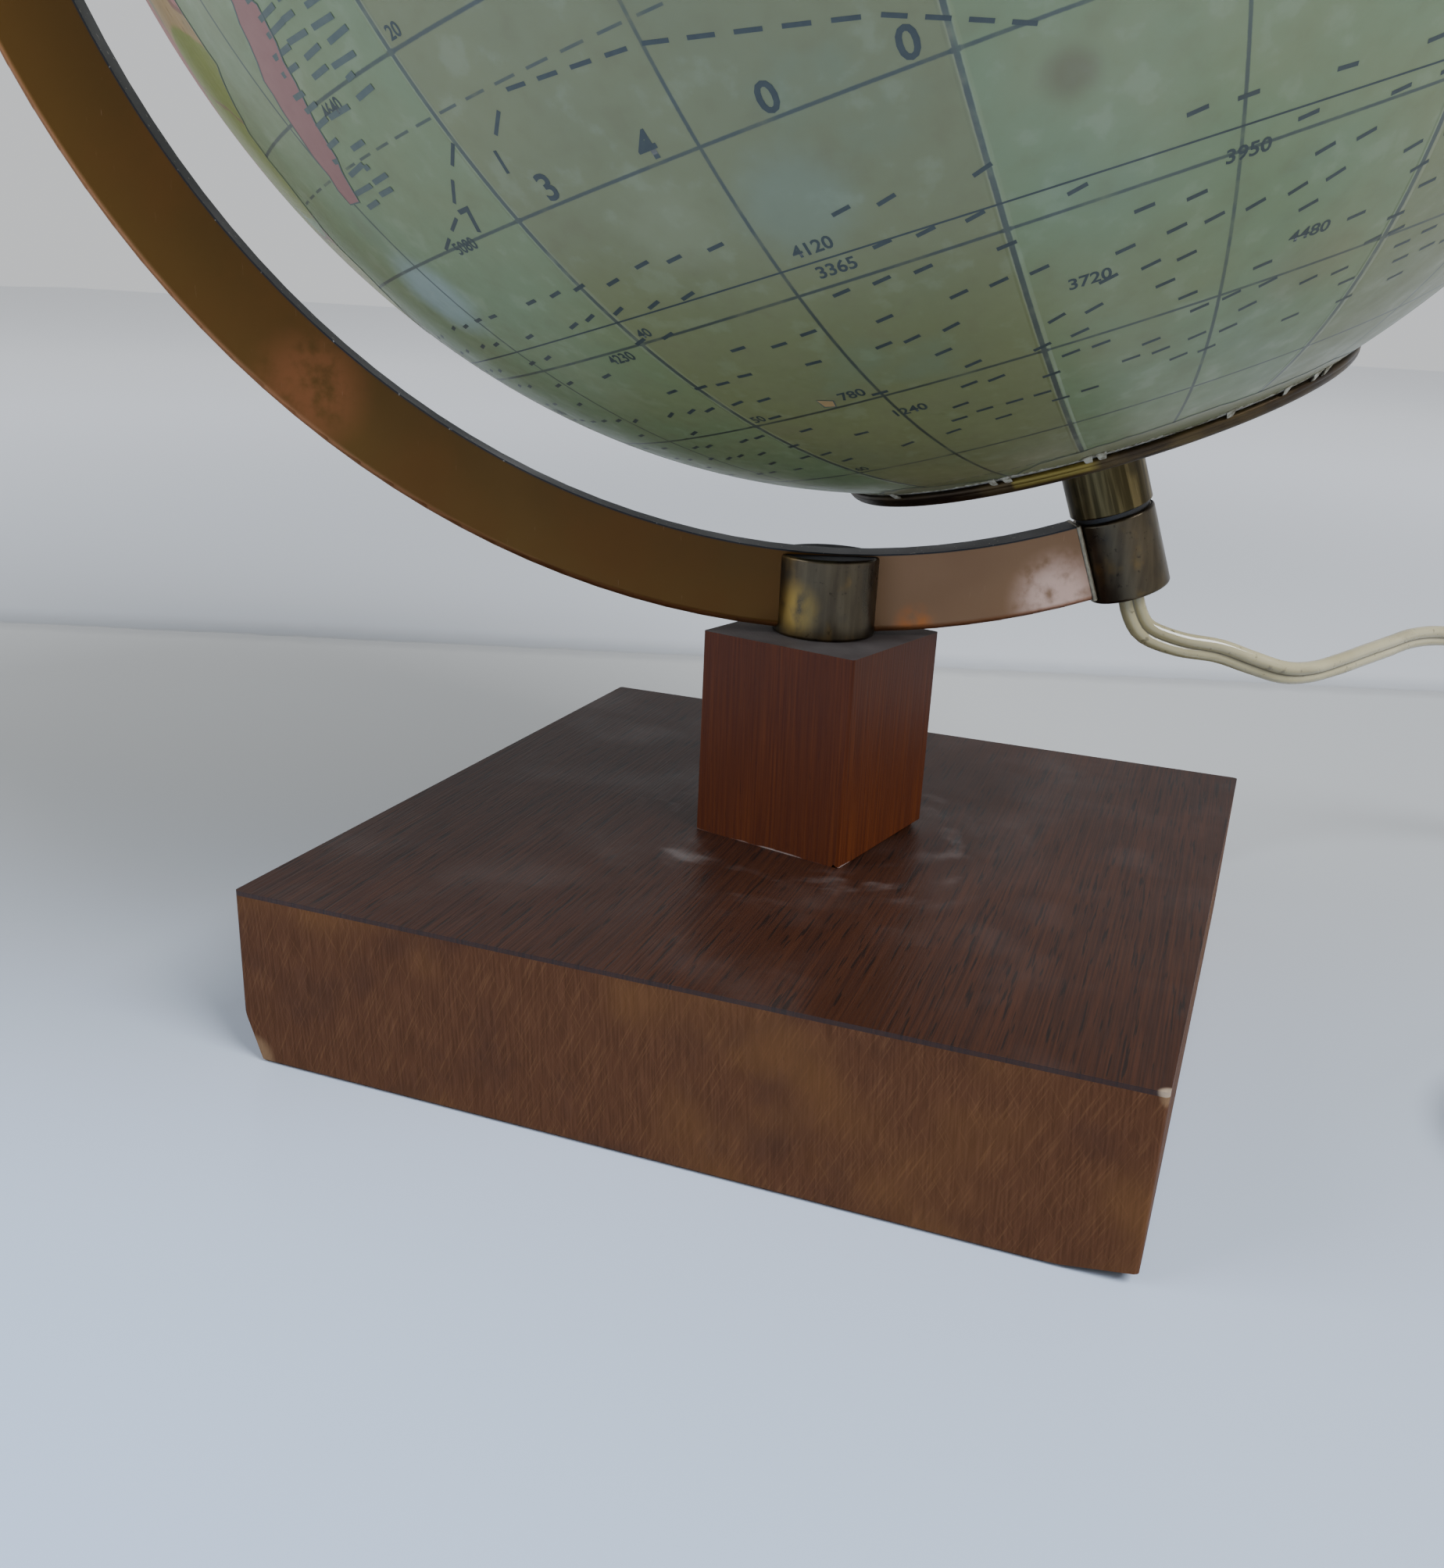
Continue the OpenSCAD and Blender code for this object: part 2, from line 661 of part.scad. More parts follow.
// Routes: each point is x, y, z and the angle by which the flat side is rolled up on edge.
run_route = [[55, 26, 71, 0], [61, 28, 69, 0], [68, 31, 68, 5], [74, 34, 66, 15], [80, 38, 64, 35],
    [85, 46, 63, 60], [90, 56, 63, 75], [95, 68, 63, 80], [100, 80, 63, 80], [105, 92, 63, 75],
    [111, 104, 62, 65], [118, 115, 60, 50], [126, 126, 56, 35], [135, 135, 50, 20], [144, 142, 43, 10],
    [153, 147, 35, 5], [162, 150, 27, 0], [171, 150, 19, 0], [179, 147, 12, 0], [185, 141, 7, 0],
    [189, 133, 4, 0], [190, 124, 4, 0], [190, 118, 5, 0]];
link_route = [[190, 50, 5, 0], [190, 42, 4, 15], [190, 34, 3.6, 35], [191, 25, 3.4, 55], [192, 16, 3.3, 70],
    [193.5, 6, 3.3, 85], [194.5, -3, 3.3, 90]];
tail_route = [[194.5, -18, 8.4, 90], [194.6, -27, 7.6, 75], [195, -36, 6.8, 50], [196, -45, 6.4, 20],
    [196, -52, 6.5, 5]];
switch_in = [190, 112, 6];
switch_out = [190, 112 - switch_l - 6, 6];
plug_in = [196, -58, 6.5];

function xyz(p) = [p[0], p[1], p[2]];
function along(route, first, last, i) = i == 0 ? first : i == len(route) - 1 ? last
    : unit(xyz(route[i + 1]) - xyz(route[i - 1]));
function route_ring(route, first, last, i) = let (
        t = along(route, first, last, i),
        s = unit(cross(t, [0, 0, 1])),
        u = cross(s, t),
        a = route[i][3]
    ) [for (q = flat_section) xyz(route[i])
        + (s * cos(a) + u * sin(a)) * q[0] * cord_w / 2 + (u * cos(a) - s * sin(a)) * q[1] * cord_t / 2];
function flatten(lists) = [for (l = lists) for (v = l) v];

// A closed skin over rings of n points each, in triangles.
module skin(rings, n) {
    last = (len(rings) - 1) * n;
    polyhedron(points = flatten(rings), faces = concat(
        [for (i = [0:len(rings) - 2], j = [0:n - 1]) [i * n + j, (i + 1) * n + j, (i + 1) * n + (j + 1) % n]],
        [for (i = [0:len(rings) - 2], j = [0:n - 1]) [i * n + j, (i + 1) * n + (j + 1) % n, i * n + (j + 1) % n]],
        [for (j = [1:n - 2]) [0, j, j + 1]],
        [for (j = [1:n - 2]) [last, last + j + 1, last + j]]));
}

module flex(route, first, last) {
    skin([for (i = [0:len(route) - 1]) route_ring(route, first, last, i)], len(flat_section));
}

function with_roll(p, a) = concat(p, [a]);

module inner_lead() {
    color("#d8ccab") on_axis() mirror([0, 0, 1]) translate([0, 0, axle_top - 0.5])
        linear_extrude(socket_far - axle_top + 0.5)
            polygon([for (q = flat_section) [q[1] * cord_t / 2, q[0] * cord_w / 2]]);
}

module cord_run() {
    ends = [with_roll(exit_at, 0), with_roll(exit_at + cord_w * axis_down, 0)];
    route = concat(ends, run_route, [with_roll(switch_in, 0)]);
    color("#d8ccab") flex(route, axis_down, [0, -1, 0]);
}

module cord_link() {
    coil_start = [coil_at[0] + coil_r, coil_at[1], coil_z, 90];
    color("#d8ccab") flex(concat([with_roll(switch_out, 0)], link_route, [coil_start]), [0, -1, 0], [0, -1, 0]);
}

module cord_tail() {
    coil_end = [coil_at[0] + coil_r, coil_at[1], coil_z + coil_layer, 90];
    color("#d8ccab") flex(concat([coil_end], tail_route, [with_roll(plug_in, 0)]), [0, -1, 0], [0, -1, 0]);
}

// The coil spirals in on the floor, climbs a layer where it reverses, and spirals out on top.
coil_steps = 24;
coil_total = 2 * coil_turns + 0.5;
function climb(x) = let (c = min(max(x, 0), 1)) c * c * (3 - 2 * c);
function coil_radius(t) = coil_r - coil_pitch * min(t, coil_total - t);
function coil_height(t) = coil_z + coil_layer * climb((t - coil_turns) / 0.5);
function coil_ring(t) = let (d = [cos(-360 * t), sin(-360 * t)], r = coil_radius(t), z = coil_height(t))
    [for (q = upright_section) [coil_at[0] + d[0] * (r + q[0] * cord_t / 2),
        coil_at[1] + d[1] * (r + q[0] * cord_t / 2), z + q[1] * cord_w / 2]];

// Least gap of the coil to itself, between sections that stand at the same angle.
slant = unit([cord_w / 4, cord_t / 2]);
function parted(dr, dz) = max(dr - cord_t, dz - cord_w, dr * slant[0] + dz * slant[1] - cord_w * slant[1]);
coil_gap = min([for (i = [0:coil_total * coil_steps], k = [1:ceil(coil_total)])
    let (a = i / coil_steps, b = a + k)
    b > coil_total ? 99 : parted(abs(coil_radius(a) - coil_radius(b)), abs(coil_height(a) - coil_height(b)))]);
echo(str("least gap of the coil to itself, in mm: ", coil_gap));

module cord_coil() {
    color("#d2c6a4") skin([for (i = [0:coil_total * coil_steps]) coil_ring(i / coil_steps)],
        len(upright_section));
}

module coil_tie() {
    slack = 0.3;
    low_r = coil_radius(coil_total / 2) - cord_t / 2;
    span = coil_r - low_r + cord_t / 2 + 2 * slack;
    rise = coil_layer + cord_w + 2 * slack;
    color("#3b3a38") translate([coil_at[0], coil_at[1], 0]) rotate([0, 0, -70])
        translate([low_r - slack + span / 2, tie_w / 2, tie_t + rise / 2]) rotate([90, 0, 0])
            linear_extrude(tie_w) difference() {
                round_rect(span + 2 * tie_t, rise + 2 * tie_t, 1.6);
                round_rect(span, rise, 1);
            }
}

// Switch on the flex, with its length along Y

pivot_z = switch_h - 4;
switch_mid = switch_in[1] - 3 - switch_l / 2;
window_w = 9.6;
window_l = 14.4;

module at_switch() {
    translate([switch_in[0], switch_mid, 0]) children();
}

module switch_outline(inset) {
    r = switch_w / 2 - inset;
    square([2 * r, switch_l - switch_w], center = true);
    for (y = [-1, 1]) translate([0, y * (switch_l - switch_w) / 2]) circle(r);
}

module switch_lower() {
    split = switch_h / 2;
    gland_r = 3.6;
    color("#e4dcc8") at_switch() difference() {
        union() {
            linear_extrude(split) switch_outline(0);
            translate([0, 0, switch_in[2]]) rotate([90, 0, 0])
                cylinder(r = gland_r - 0.7, h = switch_l + 6, center = true);
        }
        translate([0, 0, switch_wall]) linear_extrude(split) switch_outline(switch_wall);
        translate([0, 0, split]) linear_extrude(split) square([switch_w, switch_l + 8], center = true);
        for (y = [-1, 1]) translate([0, y * 17.5, -1]) cylinder(r = 1.3, h = split);
    }
}

module switch_upper() {
    split = switch_h / 2;
    color("#e4dcc8") at_switch() difference() {
        union() {
            translate([0, 0, split]) linear_extrude(split - 1) switch_outline(0);
            translate([0, 0, switch_h - 1.01]) linear_extrude(1.01) switch_outline(1);
        }
        translate([0, 0, split - 1]) linear_extrude(split - switch_wall + 1) switch_outline(switch_wall);
        linear_extrude(2 * switch_h) square([window_w, window_l], center = true);
    }
    color("#e4dcc8") at_switch() {
        for (x = [-1, 1]) difference() {
            translate([x * (window_w / 2 + 1.2), 0, switch_h - 4.5]) cube([2, 6, 8.8], center = true);
            translate([0, 0, pivot_z]) rotate([0, 90, 0]) cylinder(r = 1.2 + fixed_gap, h = switch_w, center = true);
            translate([0, 0, switch_h - 1]) linear_extrude(5) square(switch_w, center = true);
        }
        for (y = [-1, 1]) translate([0, y * 17.5, split]) ring(3, 1, split - 1.5);
    }
}

module switch_contacts() {
    color("#b08d4a") at_switch() for (y = [-1, 1]) translate([0, y * 9, switch_wall + touch_gap]) {
        translate([-4, -3, 0]) cube([8, 6, 3]);
        translate([-1.5, y * -5 - 0.4, 0]) cube([3, 0.8, 6]);
        translate([-1.5, min(0, y * -5.4), 0]) cube([3, 5.4, 0.8]);
    }
}

module switch_screws() {
    split = switch_h / 2;
    color("#8c8a84") at_switch() for (y = [-1, 1]) translate([0, y * 17.5, 0]) {
        translate([0, 0, 0.4]) cylinder(r = 1.25, h = split - 0.5);
        translate([0, 0, split - 1]) cylinder(r = 0.95, h = 6);
    }
}

module rocker_pin() {
    color("#8c8a84") at_switch() translate([0, 0, pivot_z]) rotate([0, 90, 0])
        cylinder(r = 1.2, h = window_w + 4, center = true);
}

module switch_rocker() {
    half_l = window_l / 2 - 1;
    crown_r = 40;
    color("#efe9da") at_switch() translate([0, 0, pivot_z]) rotate([rocker_throw / 2, 0, 0]) difference() {
        translate([-window_w / 2 + 0.4, 0, 0]) rotate([90, 0, 90]) linear_extrude(window_w - 0.8) difference() {
            translate([-half_l, -2.2]) square([2 * half_l, 7.4]);
            translate([0, 4 + crown_r]) circle(crown_r, $fn = 180);
        }
        rotate([0, 90, 0]) cylinder(r = 1.2 + turn_gap, h = window_w, center = true);
    }
}

// Two-pin plug, pointing along -Y

pin_seat = 12;
pin_root_r = pin_d / 2 - 0.4;

module at_plug() {
    translate(plug_in) rotate([0, 0, -90]) children();
}

module plug_outline() {
    gland_w = 8;
    nose = plug_w / 2 - 3;
    polygon([[0, -gland_w / 2], [9, -gland_w / 2 - 0.6], [18, -nose], [24, -plug_w / 2], [plug_l - 3, -plug_w / 2],
        [plug_l, -nose], [plug_l, nose], [plug_l - 3, plug_w / 2], [24, plug_w / 2], [18, nose],
        [9, gland_w / 2 + 0.6], [0, gland_w / 2]]);
}

module plug_side() {
    half = plug_t / 2;
    polygon([[0, -3.4], [9, -3.8], [19, -half], [plug_l - 1, -half], [plug_l, -half + 1], [plug_l, half - 1],
        [plug_l - 1, half], [19, half], [9, 3.8], [0, 3.4]]);
}

module plug_body() {
    color("#e9e2cf") at_plug() difference() {
        intersection() {
            translate([0, 0, -plug_t]) linear_extrude(2 * plug_t) plug_outline();
            translate([0, plug_w, 0]) rotate([90, 0, 0]) linear_extrude(2 * plug_w) plug_side();
        }
        for (y = [-1, 1]) translate([plug_l - pin_seat, y * pin_pitch / 2, 0]) rotate([0, 90, 0])
            cylinder(r = pin_root_r + fixed_gap, h = pin_seat + 1);
        translate([plug_l - 14, 0, plug_t / 2 - 2]) cylinder(r = 2.6, h = 5);
        translate([plug_l - 14, 0, plug_t / 2 - 8]) cylinder(r = 1.3, h = 8);
    }
}

module plug_pins() {
    neck = 0.6;
    color("#c9b27a") at_plug() for (y = [-1, 1]) translate([plug_l, y * pin_pitch / 2, 0]) rotate([0, 90, 0]) {
        translate([0, 0, touch_gap - pin_seat]) cylinder(r = pin_root_r, h = pin_seat + neck + 1);
        translate([0, 0, neck]) turned_rod(pin_d / 2, pin_l - neck, 0.8);
    }
}

module plug_screw() {
    color("#8c8a84") at_plug() translate([plug_l - 14, 0, plug_t / 2]) {
        translate([0, 0, -1.9]) turned_rod(2.5, 1.5, 0.3);
        translate([0, 0, -7.5]) cylinder(r = 1.25, h = 6);
    }
}

foot_block();
foot_veneer();
post_block();
clamp_stud();
flat_washer();
spring_washer();
clamp_nut();
stem_collar();
meridian_arm();
south_socket();
cord_bush();
thrust_washer();
hollow_axle();
axle_nut();
holder_dome();
holder_block();
holder_sleeve();
thread_shell();
contact_spring();
bulb_cap();
bulb_glass();
filament_mount();
glass_sphere();
map_paper();
south_dish();
south_neck();
leaf_clips();
clip_rivets();
north_cap();
north_neck();
north_nut();
north_socket();
north_washer();
pivot_screw();
inner_lead();
cord_run();
switch_lower();
switch_upper();
switch_contacts();
switch_screws();
rocker_pin();
switch_rocker();
cord_link();
cord_coil();
coil_tie();
cord_tail();
plug_body();
plug_pins();
plug_screw();
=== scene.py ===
import math

import bmesh
import bpy
from mathutils import Matrix, Vector, geometry, noise


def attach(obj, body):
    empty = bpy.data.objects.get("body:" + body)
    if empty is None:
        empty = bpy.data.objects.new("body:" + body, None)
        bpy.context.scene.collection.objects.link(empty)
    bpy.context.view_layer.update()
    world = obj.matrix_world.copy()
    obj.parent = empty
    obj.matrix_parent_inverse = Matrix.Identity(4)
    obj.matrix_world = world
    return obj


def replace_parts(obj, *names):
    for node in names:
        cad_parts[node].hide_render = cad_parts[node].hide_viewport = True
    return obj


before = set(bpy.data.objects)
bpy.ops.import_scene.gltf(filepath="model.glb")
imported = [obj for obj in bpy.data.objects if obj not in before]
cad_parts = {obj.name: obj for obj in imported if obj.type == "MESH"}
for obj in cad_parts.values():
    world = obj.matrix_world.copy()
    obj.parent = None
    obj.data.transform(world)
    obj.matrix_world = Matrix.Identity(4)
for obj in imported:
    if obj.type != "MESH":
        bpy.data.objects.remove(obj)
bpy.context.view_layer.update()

# Camera
# It stands close in front of the globe, a little above the foot, and looks up past the ball's underside.
# The lens is a short one, and its shift is that of a picture cropped from a larger one.


def placed(name, data):
    """An object of that data in the scene, at the origin."""
    made = bpy.data.objects.new(name, data)
    bpy.context.scene.collection.objects.link(made)
    return made


lens = bpy.data.cameras.new("view")
lens.sensor_width = 36
lens.lens = 33.81
lens.shift_x = -0.0059
lens.shift_y = 0.0461
lens.clip_start = 0.01
camera = placed("view", lens)
camera.location = (0.0775, -0.2558, 0.1283)
camera.rotation_euler = [math.radians(turn) for turn in (68.65, -2.68, 21.06)]
bpy.context.scene.camera = camera

# Table and light
# The table top is glossy white paint, and turns to a matt grey behind the globe. A window on the right gives
# soft, slightly blue light, and the room gives back a little from the left.


def linear(code):
    """An sRGB hex value as linear red, green, blue and alpha."""
    values = [int(code[k:k + 2], 16) / 255 for k in (1, 3, 5)]
    return [v / 12.92 if v <= 0.04045 else ((v + 0.055) / 1.055) ** 2.4 for v in values] + [1.0]


def add(kind, sockets=None, **settings):
    """Adds a node to the tree in hand. A socket takes a number, a hex colour or another node's output."""
    made = tree.nodes.new("ShaderNode" + kind)
    for name, value in settings.items():
        setattr(made, name, value)
    for name, value in (sockets or {}).items():
        if isinstance(value, bpy.types.NodeSocket):
            tree.links.new(value, made.inputs[name])
        else:
            made.inputs[name].default_value = linear(value) if isinstance(value, str) else value
    return made.outputs


def start(name):
    """Takes a new material in hand. Gives it and its Object coordinates."""
    global tree
    made = bpy.data.materials.new(name)
    made.use_nodes = True
    tree = made.node_tree
    tree.nodes.clear()
    return made, add("TexCoord")["Object"]


def finish(**looks):
    """Closes the material in hand with its shader, whose sockets take these looks."""
    shader = add("BsdfPrincipled", {name.replace("_", " "): look for name, look in looks.items()})
    add("OutputMaterial", {"Surface": shader["BSDF"]})


def pattern(place, size, turn=0.0, detail=3.0):
    """Noise whose marks measure size, in millimetres along all axes or each, turned about Z."""
    sizes = size if isinstance(size, tuple) else (size, size, size)
    laid = add("Mapping", {"Vector": place, "Rotation": (0, 0, math.radians(turn)),
                           "Scale": [s / 1000 for s in sizes]}, vector_type="TEXTURE")[0]
    return add("TexNoise", {"Vector": laid, "Scale": 1.0, "Detail": detail})[0]


def reckon(value, *sums):
    """Puts a value through sums in turn. Each names its operation and its other numbers or patterns."""
    for operation, *others in sums:
        value = add("Math", dict(enumerate([value, *others])), operation=operation)[0]
    return value


def step(value, low, high, most=1.0, within=None):
    """0 below low and most above high, or the other way round, with a soft step. Within is a mask on it."""
    risen = add("MapRange", {"Value": value, "From Min": low, "From Max": high, "To Max": most},
                interpolation_type="SMOOTHSTEP")[0]
    return risen if within is None else reckon(risen, ("MULTIPLY", within))


def coats(colour, *layers):
    """Colours over one another. A layer is its colour and a mask, or its colour and what step() takes."""
    for hue, value, *limits in layers:
        part = step(value, *limits) if limits else value
        colour = add("Mix", {0: part, 6: colour, 7: hue}, data_type="RGBA")[2]
    return colour


def made_object(name, shape, material):
    """A bmesh as an object of that material."""
    mesh = bpy.data.meshes.new(name)
    shape.to_mesh(mesh)
    shape.free()
    mesh.materials.append(material)
    return placed(name, mesh)


back_way = Vector((-0.349, 0.937, 0))
back_at = Vector((0.139, 0.332, 0)).dot(back_way)
# Glossy alkyd paint on board, with a clear soft reflection. Its colour holds painted light: bluish and brightest
# towards the front and left, greyer towards the back and right. Matt paint at the back: no reflection.
paint, place = start("white_gloss_paint")
reach = add("VectorMath", {0: place, 1: back_way}, operation="DOT_PRODUCT")["Value"]
reach = reckon(pattern(place, 9, detail=4), ("MULTIPLY_ADD", 0.006, reach))
at_back = step(reach, back_at, back_at + 0.006)
aside = add("SeparateXYZ", {"Vector": place})["X"]
far = add("VectorMath", {0: place}, operation="LENGTH")["Value"]
# A painted grey shadow lies along the line between the two. Far off, both are painted whiter and made to glow
# faintly, so that they fade into the light of the room.
shadow = step(reach, back_at - 0.012, back_at, 0.5, step(reach, back_at + 0.03, back_at))
ground = coats("#c6dfff", ("#bebdb7", reach, -0.3, 0.14), ("#b2b5b6", aside, -0.12, 0.25, 0.6),
               ("#c8c9c8", at_back), ("#fafbfb", far, 0.4, 1.3), ("#8e8f8e", shadow))
finish(Base_Color=ground, Roughness=step(at_back, -0.36, 1.0, 0.9), Emission_Color="#f2f4f6",
       Emission_Strength=step(far, 0.5, 2.0, 0.3))
shape = bmesh.new()
bmesh.ops.create_grid(shape, x_segments=2, y_segments=2, size=4.0)
made_object("table", shape, paint)

room = bpy.data.worlds.new("room")
room.use_nodes = True
bpy.context.scene.world = room
tree = room.node_tree
tree.nodes.clear()
height = add("SeparateXYZ", {"Vector": add("TexCoord")["Generated"]})["Z"]
air = add("Background", {"Color": coats("#e4e6e8", ("#8b8f96", height, 0.15, 0.6)), "Strength": 0.92})
add("OutputWorld", {"Surface": air[0]})

for name, spot, size, power, hue in (
    ("window", (1.05, -0.45, 1.3), 0.8, 48.0, "#edf3ff"),
    ("room_light", (-1.0, -0.75, 0.8), 0.9, 15.0, "#e6efff"),
):
    lamp = bpy.data.lights.new(name, "AREA")
    lamp.size = size
    lamp.energy = power
    lamp.color = linear(hue)[:3]
    stand = placed(name, lamp)
    stand.location = spot
    stand.rotation_euler = (Vector((0, 0, 0.12)) - Vector(spot)).to_track_quat("-Z", "Y").to_euler()

# Flex
# Flat twin flex, two wires side by side in PVC that has yellowed. It leaves the lower socket, twists from
# its edge to its flat side, drops to the table and lies in a coil of two layers beyond the switch.
flex_w = 0.0048
flex_t = 0.0026
exit_at = Vector((0.05097, 0.02409, 0.07872))
axis_down = Vector((0.3181, 0.1504, -0.9361))
run_route = [(0.055, 0.026, 0.071, 88), (0.061, 0.028, 0.069, 80), (0.068, 0.031, 0.068, 70),
             (0.074, 0.034, 0.066, 62), (0.080, 0.038, 0.064, 60), (0.085, 0.046, 0.063, 66),
             (0.090, 0.056, 0.063, 75), (0.095, 0.068, 0.063, 80), (0.100, 0.080, 0.063, 80),
             (0.105, 0.092, 0.063, 75), (0.111, 0.104, 0.062, 65), (0.118, 0.115, 0.060, 50),
             (0.126, 0.126, 0.056, 35), (0.135, 0.135, 0.050, 20), (0.144, 0.142, 0.043, 10),
             (0.153, 0.147, 0.035, 5), (0.162, 0.150, 0.027, 0), (0.171, 0.150, 0.019, 0),
             (0.179, 0.147, 0.012, 0), (0.185, 0.141, 0.007, 0), (0.189, 0.133, 0.004, 0),
             (0.190, 0.124, 0.004, 0), (0.190, 0.118, 0.005, 0)]
switch_in = (0.190, 0.112, 0.006, 0)
switch_out = (0.190, 0.056, 0.006, 0)
link_route = [(0.190, 0.050, 0.005, 0), (0.190, 0.042, 0.004, 15), (0.190, 0.034, 0.0036, 35),
              (0.191, 0.025, 0.0034, 55), (0.192, 0.016, 0.0033, 70), (0.1935, 0.006, 0.0033, 85),
              (0.1945, -0.003, 0.0033, 90)]
tail_route = [(0.1945, -0.018, 0.0084, 90), (0.1946, -0.027, 0.0076, 75), (0.195, -0.036, 0.0068, 50),
              (0.196, -0.045, 0.0064, 20), (0.196, -0.052, 0.0065, 5)]
plug_in = (0.196, -0.058, 0.0065, 0)
coil_at = (0.160, -0.010)
coil_turns = 3.25
coil_total = 2 * coil_turns + 0.5
coil_r = 0.0345
coil_pitch = 0.0032
coil_low = 0.0033
coil_layer = 0.0053
loop_points = 36


def coil_point(turn):
    """A point of the coil, which winds in on the table, climbs a layer and winds out on top."""
    part = min(max((turn - coil_turns) / 0.5, 0), 1)
    radius = coil_r - coil_pitch * min(turn, coil_total - turn)
    swing = -2 * math.pi * turn
    return (coil_at[0] + radius * math.cos(swing), coil_at[1] + radius * math.sin(swing),
            coil_low + coil_layer * part * part * (3 - 2 * part), 90)


def smooth_line(route, gap):
    """Points about one gap apart on a smooth line through the route's points, with their roll."""
    spots = [Vector(p) for p in route]
    spots = [2 * spots[0] - spots[1]] + spots + [2 * spots[-1] - spots[-2]]
    line = []
    for a, b, c, d in zip(spots, spots[1:], spots[2:], spots[3:]):
        count = max(1, round((c - b).xyz.length / gap))
        for k in range(count):
            t = k / count
            line.append(0.5 * (2 * b + (c - a) * t + (2 * a - 5 * b + 4 * c - d) * t * t
                               + (3 * b - a - 3 * c + d) * t * t * t))
    return line + [spots[-2]]


def twin_section():
    """The flex's cross-section: two round wires with a groove between them, width along the first axis."""
    core = flex_t / 2
    apart_by = flex_w / 2 - core
    points = []
    for way in (1, -1):
        for turn in range(-135, 136, 30):
            points.append((way * (apart_by + core * math.cos(math.radians(turn))),
                           way * core * math.sin(math.radians(turn))))
        points.append((0.0, way * core * 0.55))
    return points


def new_piece(name, shape, material, body):
    """A bmesh as a piece of that material, on that body."""
    piece = made_object(name, shape, material)
    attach(piece, body)
    return piece


def flex_piece(name, line, material):
    """Sweeps the flex's section along a line of points with roll."""
    section = twin_section()
    sides = len(section)
    shape = bmesh.new()
    layer = shape.loops.layers.uv.new("along")
    rings = []
    walked = 0.0
    for k, here in enumerate(line):
        before, after = line[max(k - 1, 0)], line[min(k + 1, len(line) - 1)]
        ahead = (after - before).xyz.normalized()
        beside = ahead.cross(Vector((0, 0, 1))).normalized()
        above = beside.cross(ahead)
        roll = math.radians(here[3])
        wide = beside * math.cos(roll) + above * math.sin(roll)
        thick = above * math.cos(roll) - beside * math.sin(roll)
        walked += (here - before).xyz.length
        rings.append((walked, [shape.verts.new(here.xyz + wide * w + thick * t) for w, t in section]))
    for (low, first), (high, second) in zip(rings, rings[1:]):
        for k in range(sides):
            face = shape.faces.new((first[k], first[(k + 1) % sides], second[(k + 1) % sides], second[k]))
            face.smooth = True
            for loop, u, v in zip(face.loops, (low, low, high, high), (k, k + 1, k + 1, k)):
                loop[layer].uv = (u, v / sides)
    shape.faces.new(rings[0][1])
    shape.faces.new(rings[-1][1])
    bmesh.ops.recalc_face_normals(shape, faces=shape.faces)
    return new_piece(name, shape, material, "arm")


# Extruded PVC: soft gloss, yellowed, darker along the groove, with grey dirt in patches a few centimetres long.
pvc, place = start("yellowed_pvc")
track = add("UVMap", uv_map="along")[0]
grime = pattern(track, (26, 420, 1000), detail=5)
specks = pattern(place, 1.6, detail=4)
# The groove lies at the section's points 10 and 21, of 22.
round_it = add("SeparateXYZ", {"Vector": track})["Y"]
in_groove = reckon(round_it, ("ADD", 1 / 22), ("PINGPONG", 0.25))
cream = coats("#8f845c", ("#b5aa86", pattern(place, 15)), ("#6f6446", grime, 0.5, 0.72, 0.8),
              ("#453c2a", in_groove, 0.06, 0.005, 0.75), ("#554c38", specks, 0.62, 0.7, 0.6))
ripple = add("Bump", {"Height": pattern(track, (3, 300, 1000)), "Strength": 0.3, "Distance": 0.0002})[0]
finish(Base_Color=cream, Roughness=step(grime, 0.3, 0.8, 0.55), Normal=ripple, IOR=1.5, Coat_Weight=0.1,
       Coat_Roughness=0.3)

leaving = [(*exit_at, 90), (*(exit_at + flex_w * axis_down), 90)]
first_line = smooth_line(leaving + run_route + [switch_in], 0.0016)
coil_line = [coil_point(k / loop_points) for k in range(int(coil_total * loop_points) + 1)]
second_line = smooth_line([switch_out] + link_route + coil_line + tail_route + [plug_in], 0.003)
flex_to_switch = flex_piece("flex_to_switch", first_line, pvc)
flex_to_plug = flex_piece("flex_to_plug", second_line, pvc)
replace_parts(flex_to_switch, "cord_run")
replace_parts(flex_to_plug, "cord_link", "cord_coil", "cord_tail")

# Foot
# A square block of stained hardwood, 15 cm wide. Its sides show the saw's fine upright and slanting marks
# under a thin, blotchy red-brown stain. Two front corners are rubbed bare.


def dress(material, *nodes):
    """Gives CAD nodes a material."""
    for node in nodes:
        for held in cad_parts[node].material_slots:
            held.material = material


def sides_of(place):
    """Runs a square block's four sides out flat, so that X goes round them and Y up them."""
    apart = add("SeparateXYZ", {"Vector": place})
    return add("CombineXYZ", {"X": reckon(apart["X"], ("ADD", apart["Y"])), "Y": apart["Z"]})[0]


def patch(place, spot, size, core, within=None):
    """A round patch about a spot: full inside core, gone outside size."""
    off = add("VectorMath", {0: place, 1: spot}, operation="DISTANCE")["Value"]
    return step(off, size, core, within=within)


